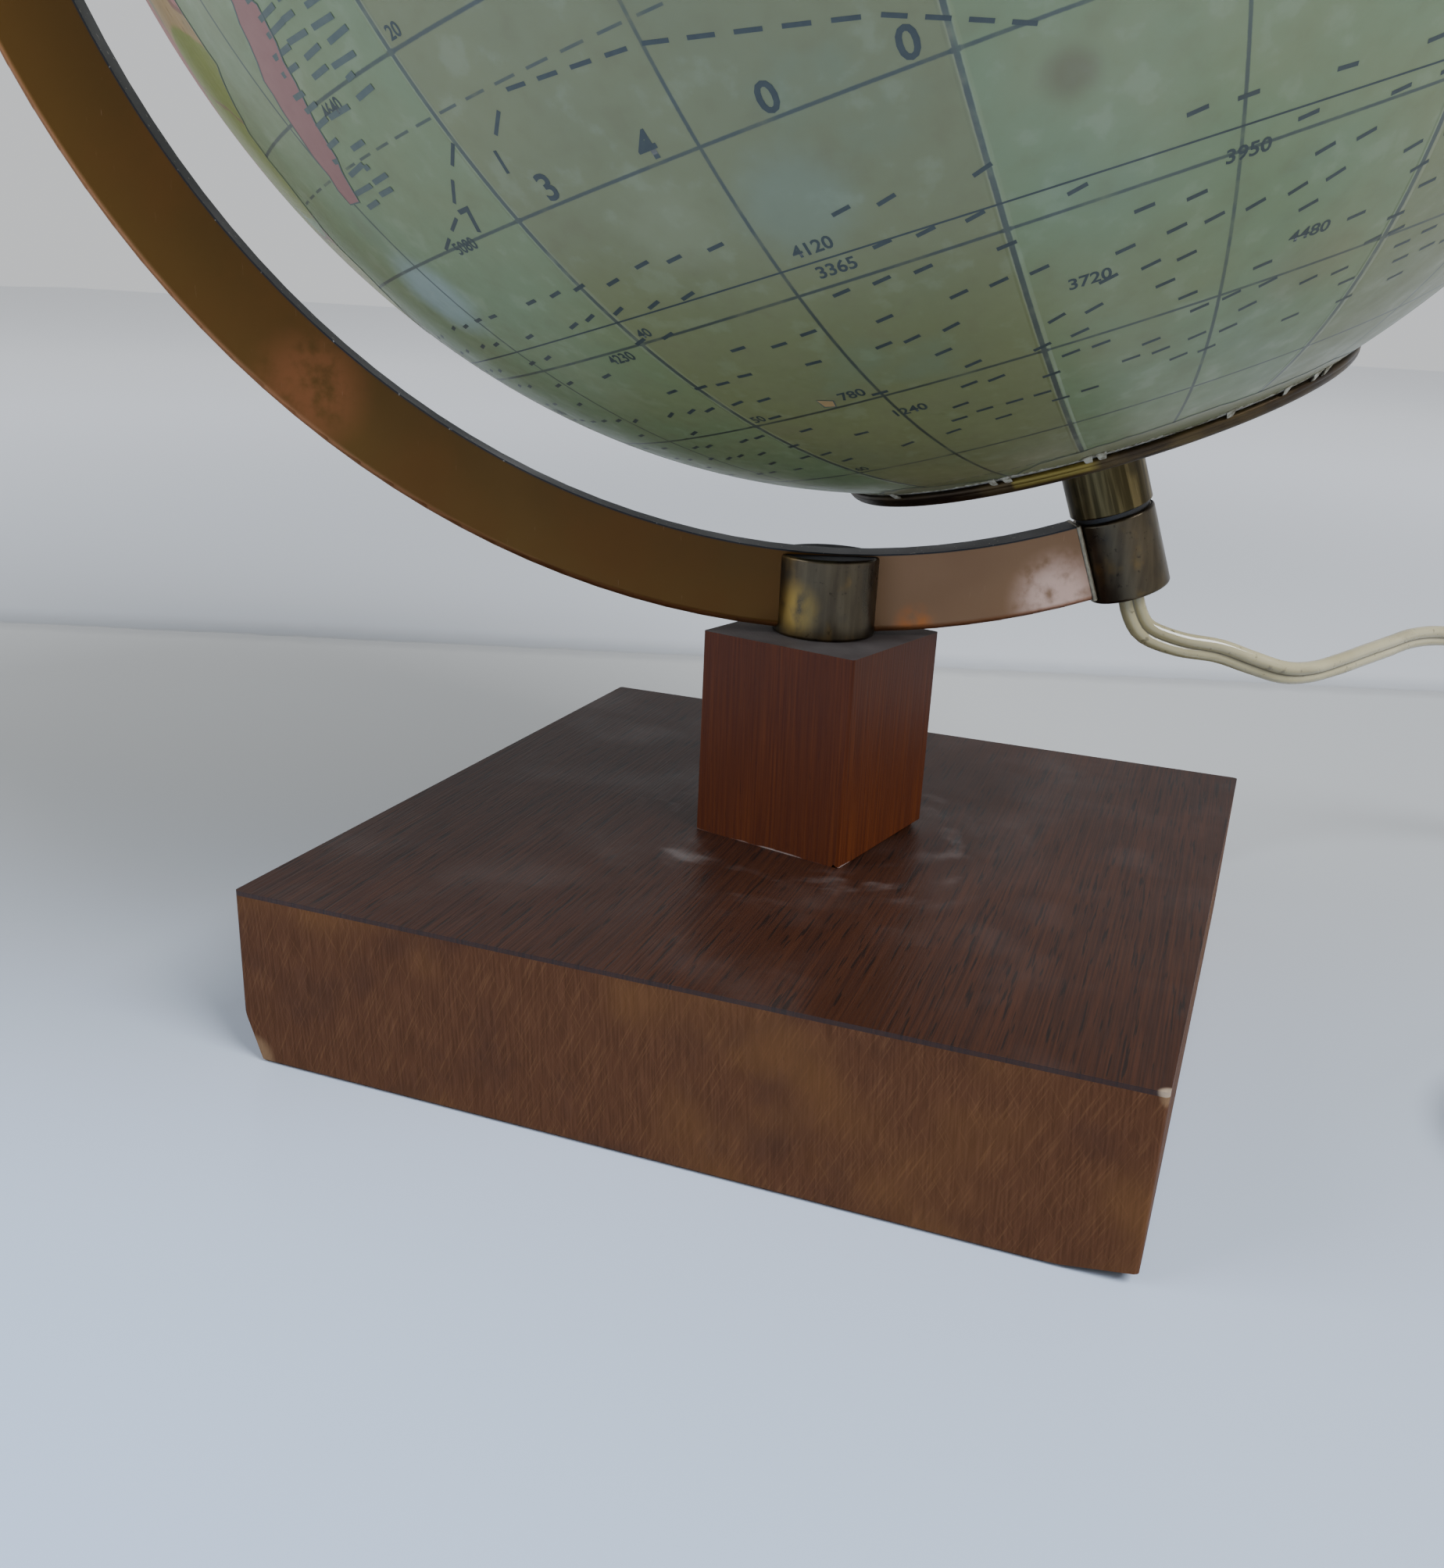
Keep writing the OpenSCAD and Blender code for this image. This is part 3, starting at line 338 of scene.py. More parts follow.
# Open-pored hardwood under oil stain: dull, dark where the pores drank it, orange where it is thin.
sawn_wood, place = start("stained_sawn_hardwood")
side = sides_of(place)
upright = pattern(side, (0.35, 7, 1000), 3, 4)
slanted = pattern(side, (0.3, 8, 1000), -24, 3)
crossed = pattern(side, (0.3, 9, 1000), 33, 3)
pores = pattern(side, (0.3, 1.6, 1000), 3, 2)
cloud = pattern(place, 13, detail=6)
thin_stain = pattern(place, (34, 34, 26), detail=2)
wood = coats("#432714", ("#53321b", upright, 0.25, 0.75), ("#6f4c2e", slanted, 0.5, 0.72, 0.35),
             ("#6f4c2e", crossed, 0.55, 0.75, 0.25), ("#341d13", cloud, 0.5, 0.75, 0.5),
             ("#684522", thin_stain, 0.48, 0.7, 0.5), ("#28150b", pores, 0.66, 0.76, 0.35))
for corner, size in (((-0.0740, -0.075, 0.0), 0.008), ((0.0755, -0.0752, 0.0305), 0.003)):
    wood = coats(wood, ("#866a4c", patch(place, corner, size, size / 3, cloud), 0.2, 0.5, 0.6))
saw_marks = reckon(upright, ("ADD", slanted))
relief = add("Bump", {"Height": saw_marks, "Strength": 0.3, "Distance": 0.00025})[0]
finish(Base_Color=wood, Roughness=step(upright, 1.6, 0.1, 0.85), Normal=relief, IOR=1.4,
       Specular_IOR_Level=0.25)
dress(sawn_wood, "foot_block")

# Veneer
# A dark, lacquered sheet of veneer with open grain along Y is glued over the block. Its sawn edge shows as
# a dark line round the sides, and the post has scuffed pale arcs into its lacquer in turning.

# Satin nitrocellulose lacquer on dark veneer: brown depth, pores as short dark strokes, a soft mirror.
veneer, place = start("lacquered_dark_veneer")
strokes = pattern(place, (0.5, 11, 50), 2, 2)
fine = pattern(place, (0.28, 26, 50), 2, 3)
bands = pattern(place, (9, 160, 50), 3, 3)
dust = pattern(place, 28, detail=5)
smear = pattern(place, (13, 9, 13), detail=4)
# Scuffs lie 24 to 40 mm from the stud, in arcs about 8 mm wide.
from_stud = add("VectorMath", {0: place, 1: (0, 0, 0.0312)}, operation="DISTANCE")["Value"]
apart = add("SeparateXYZ", {"Vector": place})
turned = reckon(apart["Y"], ("ARCTAN2", apart["X"]))
arcs = pattern(add("CombineXYZ", {"X": from_stud, "Y": turned})[0], (8, 600, 1000), detail=4)
scuff = step(arcs, 0.48, 0.72, 1.0, step(from_stud, 0.021, 0.027, 1.0, step(from_stud, 0.046, 0.03)))
worn = step(smear, 0.35, 0.7, 0.3, scuff)
facing = add("SeparateXYZ", {"Vector": add("NewGeometry")["Normal"]})["Z"]
nick = patch(place, (0.0752, -0.0752, 0.0312), 0.0035, 0.001, dust)
wood = coats("#261006", ("#3b1d0c", fine, 0.3, 0.7), ("#301607", bands, 0.45, 0.65, 0.6),
             ("#120804", strokes, 0.6, 0.66, 0.85), ("#a49a94", worn), ("#7c726c", dust, 0.5, 0.8, 0.12),
             ("#24150d", facing, 0.6, 0.2, 0.5), ("#b09a80", nick, 0.25, 0.5))
relief = add("Bump", {"Height": strokes, "Strength": 0.35, "Distance": 0.0002}, invert=True)[0]
finish(Base_Color=wood, Roughness=step(dust, -0.6, 1.0, 0.75), Normal=relief, IOR=1.4, Specular_IOR_Level=0.3,
       Coat_Weight=0.2, Coat_Roughness=step(worn, -0.5, 0.6, 0.8), Coat_Normal=relief)
dress(veneer, "foot_veneer")

# Post
# A square block of the same make as the foot, in reddish wood with upright grain, lacquered all round. It
# has turned on its stud, and dust lies on its top.
post_turn = -13.5

# Lacquered reddish hardwood: warm and fairly deep, fine dark pores upright, soft gloss.
post_wood, place = start("lacquered_red_hardwood")
square = add("Mapping", {"Vector": place, "Rotation": (0, 0, math.radians(post_turn))},
             vector_type="TEXTURE")[0]
side = sides_of(square)
fine = pattern(side, (0.45, 22, 1000), 1, 4)
pores = pattern(side, (0.32, 5, 1000), 1, 2)
bands = pattern(side, (5, 90, 1000), 1, 2)
dust = pattern(place, 7, detail=6)
foot_line = step(add("SeparateXYZ", {"Vector": place})["Z"], 0.0322, 0.0312, 1.0, dust)
facing = add("SeparateXYZ", {"Vector": add("NewGeometry")["Normal"]})["Z"]
on_top = step(facing, 0.5, 0.9, 0.85)
wood = coats("#431a05", ("#58290a", fine, 0.3, 0.7), ("#471e08", bands, 0.4, 0.66, 0.6),
             ("#280d04", pores, 0.64, 0.74, 0.5), ("#b3a79f", foot_line, 0.4, 0.6, 0.5),
             (coats("#4d4744", ("#857f7c", dust)), on_top))
relief = add("Bump", {"Height": fine, "Strength": 0.3, "Distance": 0.0002})[0]
finish(Base_Color=wood, Roughness=step(on_top, -0.9, 0.8, 0.9), Normal=relief, IOR=1.4,
       Specular_IOR_Level=0.3, Coat_Weight=0.05, Coat_Roughness=0.25)
dress(post_wood, "post_block")

# Clamp
# A zinc-plated stud runs from the arm through collar, post and foot. In a well under the foot it holds a
# flat washer, a spring washer and a nut.

# Zinc-plated steel: pale grey metal, slightly cloudy, with fine turning marks.
steel, place = start("zinc_plated_steel")
cloud = pattern(place, 4, detail=5)
marks = add("Bump", {"Height": pattern(place, (6, 6, 0.3)), "Strength": 0.2, "Distance": 0.0001})[0]
finish(Base_Color=coats("#8f8e8a", ("#b9b8b3", cloud)), Roughness=step(cloud, -0.5, 1.0, 0.55), Normal=marks,
       Metallic=1.0)
dress(steel, "clamp_stud", "flat_washer", "spring_washer", "clamp_nut", "leaf_clips", "filament_mount",
      "switch_screws", "rocker_pin", "plug_screw")

# Collar and sockets
# Short turned brass rods: the collar stands on the post and has the slot that holds the arm, and a socket
# closes each end of the arm. Sixty years of handling have left them grey-brown, with yellow worn spots.

# Tarnished brass: dark and cloudy, still metal, with upright streaks from turning and wiping.
old_brass, place = start("tarnished_brass")
streaks = pattern(place, (1.8, 1.8, 16), detail=4)
cloud = pattern(place, (6, 6, 9), detail=5)
spots = pattern(place, 1, detail=4)
rubbed = patch(place, (-0.0035, -0.0088, 0.0745), 0.0066, 0.0015, step(cloud, 0.3, 0.5))
facing = add("SeparateXYZ", {"Vector": add("NewGeometry")["Normal"]})["Z"]
on_top = step(facing, 0.96, 0.99)
metal = coats("#453c2f", ("#5a503e", streaks, 0.25, 0.75), ("#7b6236", cloud, 0.54, 0.72, 0.6),
              ("#3c3831", cloud, 0.46, 0.34, 0.5), ("#231f19", spots, 0.62, 0.72, 0.5),
              ("#8c733c", rubbed), ("#26272a", on_top))
rough = reckon(on_top, ("MULTIPLY_ADD", 0.35, step(cloud, -0.6, 1.2, 0.5)))
relief = add("Bump", {"Height": streaks, "Strength": 0.12, "Distance": 0.0002})[0]
finish(Base_Color=metal, Roughness=rough, Normal=relief, Metallic=0.92)
dress(old_brass, "stem_collar", "south_socket", "north_socket", "pivot_screw")

# Arm
# Flat bar, 14 by 6.6 mm, bent to a half circle round the ball, copper-plated and lacquered. Its outer edges are
# rounded and carry a painted highlight, and the side that faces the ball is dark slate.
ball_centre = Vector((0.0026218, 0.0012393, 0.221002))
arm_in_r = 0.137
arm_out_r = 0.1511

# Lacquered copper plate: brown, half bright, cloudy under the lacquer, pinker near the lower socket, with painted
# shading and painted highlights.
copper, place = start("lacquered_copper_plate")
reach = add("VectorMath", {0: place, 1: ball_centre}, operation="DISTANCE")["Value"]
aside = add("SeparateXYZ", {"Vector": place})["X"]
cloud = pattern(place, 22, detail=5)
specks = pattern(place, 0.8, detail=2)
scratches = pattern(place, (0.25, 0.25, 5), 30, 3)
smudge = step(pattern(place, 3, detail=6), 0.2, 0.6, 0.8)
# The face is painted darker towards the inner edge and lighter towards the outer one: painted shading.
metal = coats("#543b17", ("#62451b", reach, arm_in_r, arm_out_r), ("#69441b", cloud, 0.42, 0.7, 0.5),
              ("#8c6d53", aside, 0.004, 0.014, 0.75))
# Three soft patches, broken up by a mottled mask. The pinkish-white one near the lower end is a painted
# highlight.
for spot, size, hue in (((-0.0795, -0.0413, 0.108), 0.012, "#8a5430"),
                        ((0.0395, 0.0150, 0.0772), 0.0105, "#e0bfae"),
                        ((0.016, 0.004, 0.0715), 0.005, "#b06a34")):
    metal = coats(metal, (hue, patch(place, spot, size, size / 4, smudge)))
slate = coats("#2c2e31", ("#a9a49c", specks, 0.68, 0.74))
inner = step(reach, arm_in_r + 0.0004, arm_in_r + 0.0002)
# The bright line just inside the outer radius is a painted highlight on the rounded edge.
metal = coats(metal, ("#a87048", reach, arm_out_r - 0.0013, arm_out_r - 0.0006, 0.6),
              ("#c09a80", scratches, 0.72, 0.8, 0.3), (slate, inner))
rough = step(cloud, -0.9, 1.0, 0.62)
relief = add("Bump", {"Height": specks, "Strength": 0.06, "Distance": 0.0002})[0]
finish(Base_Color=metal, Roughness=rough, Normal=relief, Metallic=0.9, Coat_Weight=0.12,
       Coat_Roughness=reckon(rough, ("MULTIPLY_ADD", inner, 0.15)))
dress(copper, "meridian_arm")

# Solder
# Where the arm's ends butt against the sockets, a thin bright fillet of soft solder runs round the joint.
# It was run in with an iron, and stands a little proud of the bar.
tilt = math.radians(20.6)
arm_turn = math.radians(25.3)
on_axis = Matrix.Translation(ball_centre) @ Matrix.Rotation(arm_turn, 4, "Z") @ Matrix.Rotation(-tilt, 4, "Y")
bar_t = 0.0066
socket_flat = 0.0069
solder_l = 0.0009
solder_h = 0.0002
solder_edge = 0.00025

# Tin-lead solder: pale grey, uneven, half dull.
solder, place = start("soft_solder")
lumps = pattern(place, 0.9, detail=3)
relief = add("Bump", {"Height": lumps, "Strength": 0.5, "Distance": 0.0002})[0]
finish(Base_Color=coats("#5f584a", ("#a59d88", lumps)), Roughness=0.42, Normal=relief, Metallic=1.0)
for way, name in ((-1, "solder_south"), (1, "solder_north")):
    shape = bmesh.new()
    bmesh.ops.create_cube(shape, size=1.0)
    size = (solder_l, bar_t + 2 * solder_h, arm_out_r - arm_in_r + solder_h)
    bmesh.ops.scale(shape, vec=size, verts=shape.verts)
    bmesh.ops.bevel(shape, geom=shape.edges[:], offset=solder_edge, segments=2, profile=0.5,
                    affect="EDGES", material=-1)
    at = (-socket_flat - solder_l / 2, 0, way * (arm_in_r + arm_out_r) / 2 - way * solder_h)
    bmesh.ops.translate(shape, vec=at, verts=shape.verts)
    bmesh.ops.transform(shape, matrix=on_axis, verts=shape.verts)
    new_piece(name, shape, solder, "arm")

# Lamp
# A bakelite holder is screwed on the hollow brass axle inside the ball, with a ceramic block, a brass thread
# shell and a small bulb. The dish and the paper close it in, and it shows only if the ball is opened.

# Moulded phenolic: nearly black brown, faintly mottled, glossy.
bakelite, place = start("moulded_bakelite")
finish(Base_Color=coats("#24150f", ("#3b241a", pattern(place, 3, detail=5))), IOR=1.6, Roughness=0.25)
dress(bakelite, "holder_dome", "holder_sleeve")

# Unglazed steatite: off-white, fine-grained, dull.
steatite, place = start("pressed_steatite")
grain = pattern(place, 0.6, detail=3)
relief = add("Bump", {"Height": grain, "Strength": 0.3, "Distance": 0.0001})[0]
finish(Base_Color=coats("#cdc6b6", ("#ded8ca", grain)), IOR=1.55, Roughness=0.7, Normal=relief)
dress(steatite, "holder_block")

# Drawn brass, kept from hands: yellow, half bright, streaked along the turning, dark where it tarnished.
brass, place = start("turned_brass")
axle_place = add("Mapping", {"Vector": place, "Location": ball_centre, "Rotation": on_axis.to_euler()},
                 vector_type="TEXTURE")[0]
streaks = pattern(axle_place, (1.3, 1.3, 30), detail=4)
cloud = pattern(axle_place, (5, 5, 8), detail=5)
# The brightest streaks, in #a3956c, are painted highlights laid along the turning marks.
metal = coats("#3f3723", ("#6d6040", streaks, 0.36, 0.62), ("#3b3528", cloud, 0.5, 0.7, 0.7),
              ("#a3956c", streaks, 0.66, 0.72, 0.5))
relief = add("Bump", {"Height": streaks, "Strength": 0.1, "Distance": 0.0002})[0]
finish(Base_Color=metal, Roughness=step(cloud, -0.6, 1.0, 0.5), Normal=relief, Metallic=1.0)
dress(brass, "hollow_axle", "axle_nut", "thread_shell", "contact_spring", "south_neck", "clip_rivets",
      "north_neck", "north_nut", "switch_contacts", "plug_pins")

# Drawn aluminium cap: pale, soft, fine rings.
aluminium, place = start("drawn_aluminium")
finish(Base_Color=coats("#b4b2ac", ("#d2d0ca", pattern(place, (5, 5, 1)))), Roughness=0.35, Metallic=1.0)
dress(aluminium, "bulb_cap")

# Blown glass, frosted inside in the bulb and clear with a green cast in the ball: smooth, with faint waves.
for name, node, hue, rough in (("frosted_bulb_glass", "bulb_glass", "#f4efe2", 0.45),
                               ("blown_ball_glass", "glass_sphere", "#e2ece4", 0.04)):
    glass, place = start(name)
    waves = add("Bump", {"Height": pattern(place, 30), "Strength": 0.1, "Distance": 0.0005})[0]
    finish(Base_Color=hue, Roughness=rough, Normal=waves, IOR=1.5, Transmission_Weight=0.92)
    dress(glass, node)

# Black moulded washers and bush: dull, slightly worn.
black, place = start("black_hard_rubber")
finish(Base_Color=coats("#151413", ("#302d2a", pattern(place, 2, detail=5))), IOR=1.5, Roughness=0.5)
dress(black, "cord_bush", "thrust_washer", "north_washer", "coil_tie")
dress(pvc, "inner_lead")

# Map paper
# Twelve printed paper gores, each 30 degrees wide, are pasted on the glass ball and varnished. The sea is
# grey-green with a blue-black graticule, and varnish and light have yellowed some gores more than others.
paper_r = 0.12575
mm_per_degree = 125.8 * math.pi / 180
paper_south = -70.1
paper_north = 85.8
# North lies along the axis. The ball's front faces 107.92 degrees east, and front_east is east from there.
north = Vector((-0.3181, -0.1504, 0.9361)).normalized()
front_east = Vector((0.8463, 0.4000, 0.3518))
front_way = front_east.cross(north).normalized()
front_east = north.cross(front_way)
front_lon = math.radians(107.92)
zero_east = math.cos(front_lon) * front_way - math.sin(front_lon) * front_east
ninety_east = math.sin(front_lon) * front_way + math.cos(front_lon) * front_east
globe_place = Matrix((zero_east, ninety_east, north)).transposed().to_4x4()
globe_place.translation = ball_centre


def globe_spot(lon, lat, radius):
    """The point at that longitude and latitude, so far from the ball's centre."""
    lon, lat = math.radians(lon), math.radians(lat)
    return globe_place @ (radius * Vector((math.cos(lat) * math.cos(lon), math.cos(lat) * math.sin(lon),
                                           math.sin(lat))))


def on_ball(shape, radius, first=0):
    """Lays a shape that is drawn in degrees of longitude and latitude on the ball."""
    shape.verts.ensure_lookup_table()
    for v in shape.verts[first:]:
        v.co = globe_spot(v.co.x, v.co.y, radius)


shape = bmesh.new()
bmesh.ops.create_grid(shape, x_segments=360, y_segments=156, size=1.0)
degrees = shape.loops.layers.uv.new("degrees")
for v in shape.verts:
    v.co = (180 * v.co.x, (paper_north + paper_south) / 2 + v.co.y * (paper_north - paper_south) / 2, 0)
for face in shape.faces:
    face.smooth = True
    for loop in face.loops:
        loop[degrees].uv = (loop.vert.co.x / 360 + 0.5, loop.vert.co.y / 180 + 0.5)
on_ball(shape, paper_r)
bmesh.ops.remove_doubles(shape, verts=shape.verts, dist=0.000001)

# Varnished paper: a soft mirror over matt ink, brown specks and foxing, fine wrinkles along the gores.
printed, place = start("varnished_map_paper")
apart = add("SeparateXYZ", {"Vector": add("UVMap", uv_map="degrees")[0]})
lon = reckon(apart["X"], ("MULTIPLY", 360.0))
lat = reckon(apart["Y"], ("MULTIPLY_ADD", 180.0, -90.0))
shrink = reckon(lat, ("MULTIPLY", math.pi / 180), ("COSINE",))
cloud = pattern(place, 26, detail=6)
mottle = pattern(place, 4.5, detail=5)
fibre = pattern(place, 0.7, detail=3)
# Each gore has yellowed by its own amount.
gore_age = reckon(lon, ("DIVIDE", 30.0), ("FLOOR",), ("MULTIPLY_ADD", 2.6, -22.37), ("SINE",))
sea = coats("#66663d", ("#65744c", gore_age, -1.6, 1.4), ("#6d6e42", cloud, 0.4, 0.7, 0.6),
            ("#5f6e52", cloud, 0.45, 0.3, 0.45), ("#5e5434", mottle, 0.48, 0.8, 0.25),
            ("#8f9a7c", mottle, 0.45, 0.3, 0.14))
# Stains and rubbed places, by longitude, latitude and size in millimetres. The pale blue-grey patch at 43.4
# degrees east is a painted sheen.
for at_lon, at_lat, size, hue, most in ((95.4, -32.9, 3.8, "#4f4118", 0.6), (43.4, -32.3, 9.0, "#8f9c9a", 0.5),
                                        (78.5, -34.5, 9.0, "#6c7f72", 0.28), (113.0, -50.0, 8.0, "#6a6440", 0.4),
                                        (70.0, -33.5, 8.0, "#80835f", 0.3)):
    spot = globe_spot(at_lon, at_lat, paper_r)
    off = add("VectorMath", {0: place, 1: spot}, operation="DISTANCE")["Value"]
    uneven = reckon(mottle, ("MULTIPLY_ADD", 0.003, off))
    sea = coats(sea, (hue, uneven, size / 1000 + 0.002, size / 2500 + 0.001, most))
# Gores meet every 30 degrees: a pale lap about 0.8 mm wide, shaded on one side.
seam = reckon(lon, ("PINGPONG", 15.0), ("MULTIPLY", shrink))
# Printed lines are 0.45 mm wide: meridians every 15 degrees, parallels every 10, and thinner dashed circles.
across = reckon(lon, ("PINGPONG", 7.5), ("MULTIPLY", shrink))
up = reckon(lat, ("ADD", 100.0), ("PINGPONG", 5.0))
wobble = reckon(fibre, ("MULTIPLY_ADD", 0.04, reckon(across, ("MINIMUM", up))))
# Where gores meet, the line is printed on both and comes out wider.
ink = step(reckon(wobble, ("SUBTRACT", step(seam, 0.35, 0.15, 0.05))), 0.16, 0.08, 0.85)
# On the meridian 60 degrees east the lap has taken the printed line away.
bare = step(reckon(lon, ("SUBTRACT", 60.0), ("ABSOLUTE",)), 0.5, 0.4, 1.0, step(up, 0.1, 0.2))
ink = reckon(bare, ("MULTIPLY_ADD", -1.0, 1.0), ("MULTIPLY", ink))
dash = step(reckon(lon, ("PINGPONG", 1.25)), 0.42, 0.5)
for circle in (-66.55, -23.45, 23.45, 66.55):
    away = reckon(lat, ("SUBTRACT", circle), ("ABSOLUTE",))
    ink = reckon(ink, ("MAXIMUM", step(away, 0.1, 0.06, 0.8, dash)))
sea = coats(sea, ("#a5a788", seam, 0.3, 0.1, 0.25), ("#1a2523", step(mottle, 0.95, 0.45, 1.0, ink)))
crease = reckon(step(seam, 0.4, 0.2), ("ADD", cloud))
relief = add("Bump", {"Height": crease, "Strength": 0.4, "Distance": 0.0002})[0]
relief = add("Bump", {"Height": mottle, "Strength": 0.15, "Distance": 0.0002, "Normal": relief})[0]
finish(Base_Color=sea, Roughness=step(mottle, -0.8, 1.2, 0.75), Normal=relief, IOR=1.5, Coat_Weight=0.5,
       Coat_Roughness=0.27, Coat_IOR=1.55, Coat_Normal=relief)
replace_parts(new_piece("map_sea", shape, printed, "globe"), "map_paper")

# Printed dashes and numbers
# Rows of short blue-black dashes show the currents, and plain figures give degrees and depths in metres.
# They lie a hair's breadth over the paper.
print_r = 0.125766


def ribbon(shape, line, width, closed=False):
    """A flat printed line of that width in millimetres, through points in degrees."""
    ends = list(zip(line, line[1:] + line[:1])) if closed else list(zip(line, line[1:]))
    sides = []
    for (a, b), (c, d) in ends:
        shrink = math.cos(math.radians((b + d) / 2))
        way = Vector((-(d - b), (c - a) * shrink)).normalized() * width / 2 / mm_per_degree
        sides.append(((way.x / shrink, way.y), (a, b), (c, d)))
    rows = []
    for k, (way, spot, _) in enumerate(sides):
        last = sides[k - 1][0] if closed or k else way
        rows.append((spot, ((way[0] + last[0]) / 2, (way[1] + last[1]) / 2)))
    if not closed:
        rows.append((sides[-1][2], sides[-1][0]))
    pairs = [(shape.verts.new((p[0] + w[0], p[1] + w[1], 0)), shape.verts.new((p[0] - w[0], p[1] - w[1], 0)))
             for p, w in rows]
    for (a, b), (c, d) in zip(pairs, pairs[1:] + (pairs[:1] if closed else [])):
        shape.faces.new((a, b, d, c))


depths = [(76.5, -37.6, 4120), (77.2, -39.3, 3365), (71.2, -49.4, 780), (74.0, -52.6, 1240),
          (84.0, -24.0, 5310), (98.0, -25.5, 4875), (104.0, -40.5, 3950), (110.0, -47.5, 4480),
          (93.0, -45.5, 3720), (52.0, -30.5, 5080), (50.5, -21.0, 4640), (55.0, -41.0, 4230),
          (118.0, -30.0, 5415), (66.5, -19.5, 3890), (88.5, -14.0, 5220), (64.0, 12.0, 4050), (88.0, 8.0, 3610),
          (-25.0, 35.0, 3480), (-45.0, 25.0, 5730), (-30.0, 0.0, 4315), (-15.0, -25.0, 4790),
          (-120.0, 10.0, 4260), (-140.0, 35.0, 5120), (-165.0, 15.0, 5480), (-110.0, -40.0, 3640),
          (-95.0, -15.0, 4170), (150.0, 15.0, 5960), (170.0, 45.0, 6120), (165.0, -15.0, 4530),
          (-170.0, -50.0, 5290), (-35.0, 55.0, 2980), (5.0, 72.0, 3270), (135.0, 20.0, 6210),
          (-60.0, 42.0, 4680), (30.0, -45.0, 5340)]
dash_l = 2.3
dash_w = 0.55
dash_rows = 11
top_row = -36.2
noise.seed_set(11)
shape = bmesh.new()
for row in range(dash_rows):
    for k in range(0, 360, 3):
        sway = noise.noise_vector(Vector((k * 0.31, row * 1.7, 2.0)))
        if sway.z > 0.16 - 0.02 * row:
            continue
        at_lon = k + 1.5 * (row % 2) + 0.8 * sway.x
        at_lat = top_row - 2.0 * row + 1.4 * math.sin(math.radians(2 * at_lon + 20 * row)) + 0.5 * sway.y
        # The figures' own ground is left free.
        if any(abs((at_lon - spot - 178) % 360 - 180) < 4.5 and abs(at_lat - across - 0.7) < 1.4
               for spot, across, _ in depths):
            continue
        lean = math.radians(9 + 20 * noise.noise(Vector((k * 0.05, row * 0.4, 5.0))))
        half = dash_l / 2 / mm_per_degree
        reach = (half * math.cos(lean) / math.cos(math.radians(at_lat)), half * math.sin(lean))
        ribbon(shape, [(at_lon - reach[0], at_lat - reach[1]), (at_lon + reach[0], at_lat + reach[1])], dash_w)
currents = [[(66, -23.9), (75, -24.6), (87, -27.4), (95, -30.5)],
            [(64.6, -24.6), (62.4, -26.2), (62.0, -28.4)],
            [(59.8, -25.0), (57.5, -26.6), (55.0, -28.5), (50, -30.2)],
            [(98, -22), (92, -18), (80, -16), (66, -15)],
            [(-30, -20), (-22, -26), (-8, -31), (6, -33)], [(-100, -18), (-120, -14), (-150, -12)],
            [(-75, 30), (-62, 38), (-45, 43), (-25, 47)], [(140, 30), (155, 36), (175, 40)],
            [(-88, -30), (-80, -38), (-84, -48)], [(158, -25), (164, -33), (168, -36)]]
current_gap = 2.4
for current in currents:
    for (a, b), (c, d) in zip(current, current[1:]):
        count = round(math.hypot(c - a, d - b) / current_gap)
        for k in range(count):
            s, e = k / count, (k + 0.6) / count
            ribbon(shape, [(a + (c - a) * s, b + (d - b) * s), (a + (c - a) * e, b + (d - b) * e)], 0.5)
# One thin full line, close to the parallel of 40 degrees south, runs right round.
thin_line = [(k, -39.1 + 1.2 * math.cos(math.radians(k - 40))) for k in range(-180, 180, 2)]
ribbon(shape, thin_line, 0.26, closed=True)
on_ball(shape, print_r)

# Printing ink: blue-black, matt, worn thin in places.
ink_print, place = start("blue_black_printing_ink")
finish(Base_Color=coats("#151e1e", ("#323b34", pattern(place, 1.2, detail=4))), Roughness=0.6, Coat_Weight=0.4,
       Coat_Roughness=0.22)
new_piece("map_currents", shape, ink_print, "globe")


def print_number(shape, words, at_lon, at_lat, height):
    """Figures height millimetres tall, their lower left corner at that place on the ball."""
    drawn = bpy.data.curves.new("figures", "FONT")
    drawn.body = words
    drawn.size = 1.4 * height
    drawn.offset = 0.03 * height
    drawn.resolution_u = 3
    holder = bpy.data.objects.new("figures", drawn)
    mesh = bpy.data.meshes.new_from_object(holder)
    first = len(shape.verts)
    shape.from_mesh(mesh)
    shape.verts.ensure_lookup_table()
    for v in shape.verts[first:]:
        laid = v.co / mm_per_degree
        v.co = (at_lon + laid.x / math.cos(math.radians(at_lat)), at_lat + laid.y, 0)
    bpy.data.objects.remove(holder)
    bpy.data.curves.remove(drawn)
    bpy.data.meshes.remove(mesh)


shape = bmesh.new()
for meridian in range(-180, 180, 15):
    print_number(shape, str(abs(meridian)), meridian + 0.5, 0.5, 2.4)
    print_number(shape, str(abs(meridian)), meridian + 0.6, 50.5, 2.4)
for parallel in (-60, -50, -40, -20, -10, 10, 20, 30, 40, 60, 70):
    for meridian in (-150, -30, 60, 165):
        print_number(shape, str(abs(parallel)), meridian + 0.6, parallel + 0.4, 1.6)
# Each ocean's area in thousands of square kilometres is spaced out across it.
for digits, start_lon, gap, at_lat in (("73400", 55.6, 7.9, -29.7), ("106500", -42.0, 7.5, -19.7),
                                       ("106500", -62.0, 5.5, 30.3), ("165200", -150.0, 9.5, -19.7),
                                       ("165200", 148.0, 7.5, 20.3)):
    for k, digit in enumerate(digits):
        print_number(shape, digit, start_lon + gap * k, at_lat, 3.5)
for at_lon, at_lat, depth in depths:
    print_number(shape, str(depth), at_lon, at_lat, 1.8)
on_ball(shape, print_r)
new_piece("map_figures", shape, ink_print, "globe")
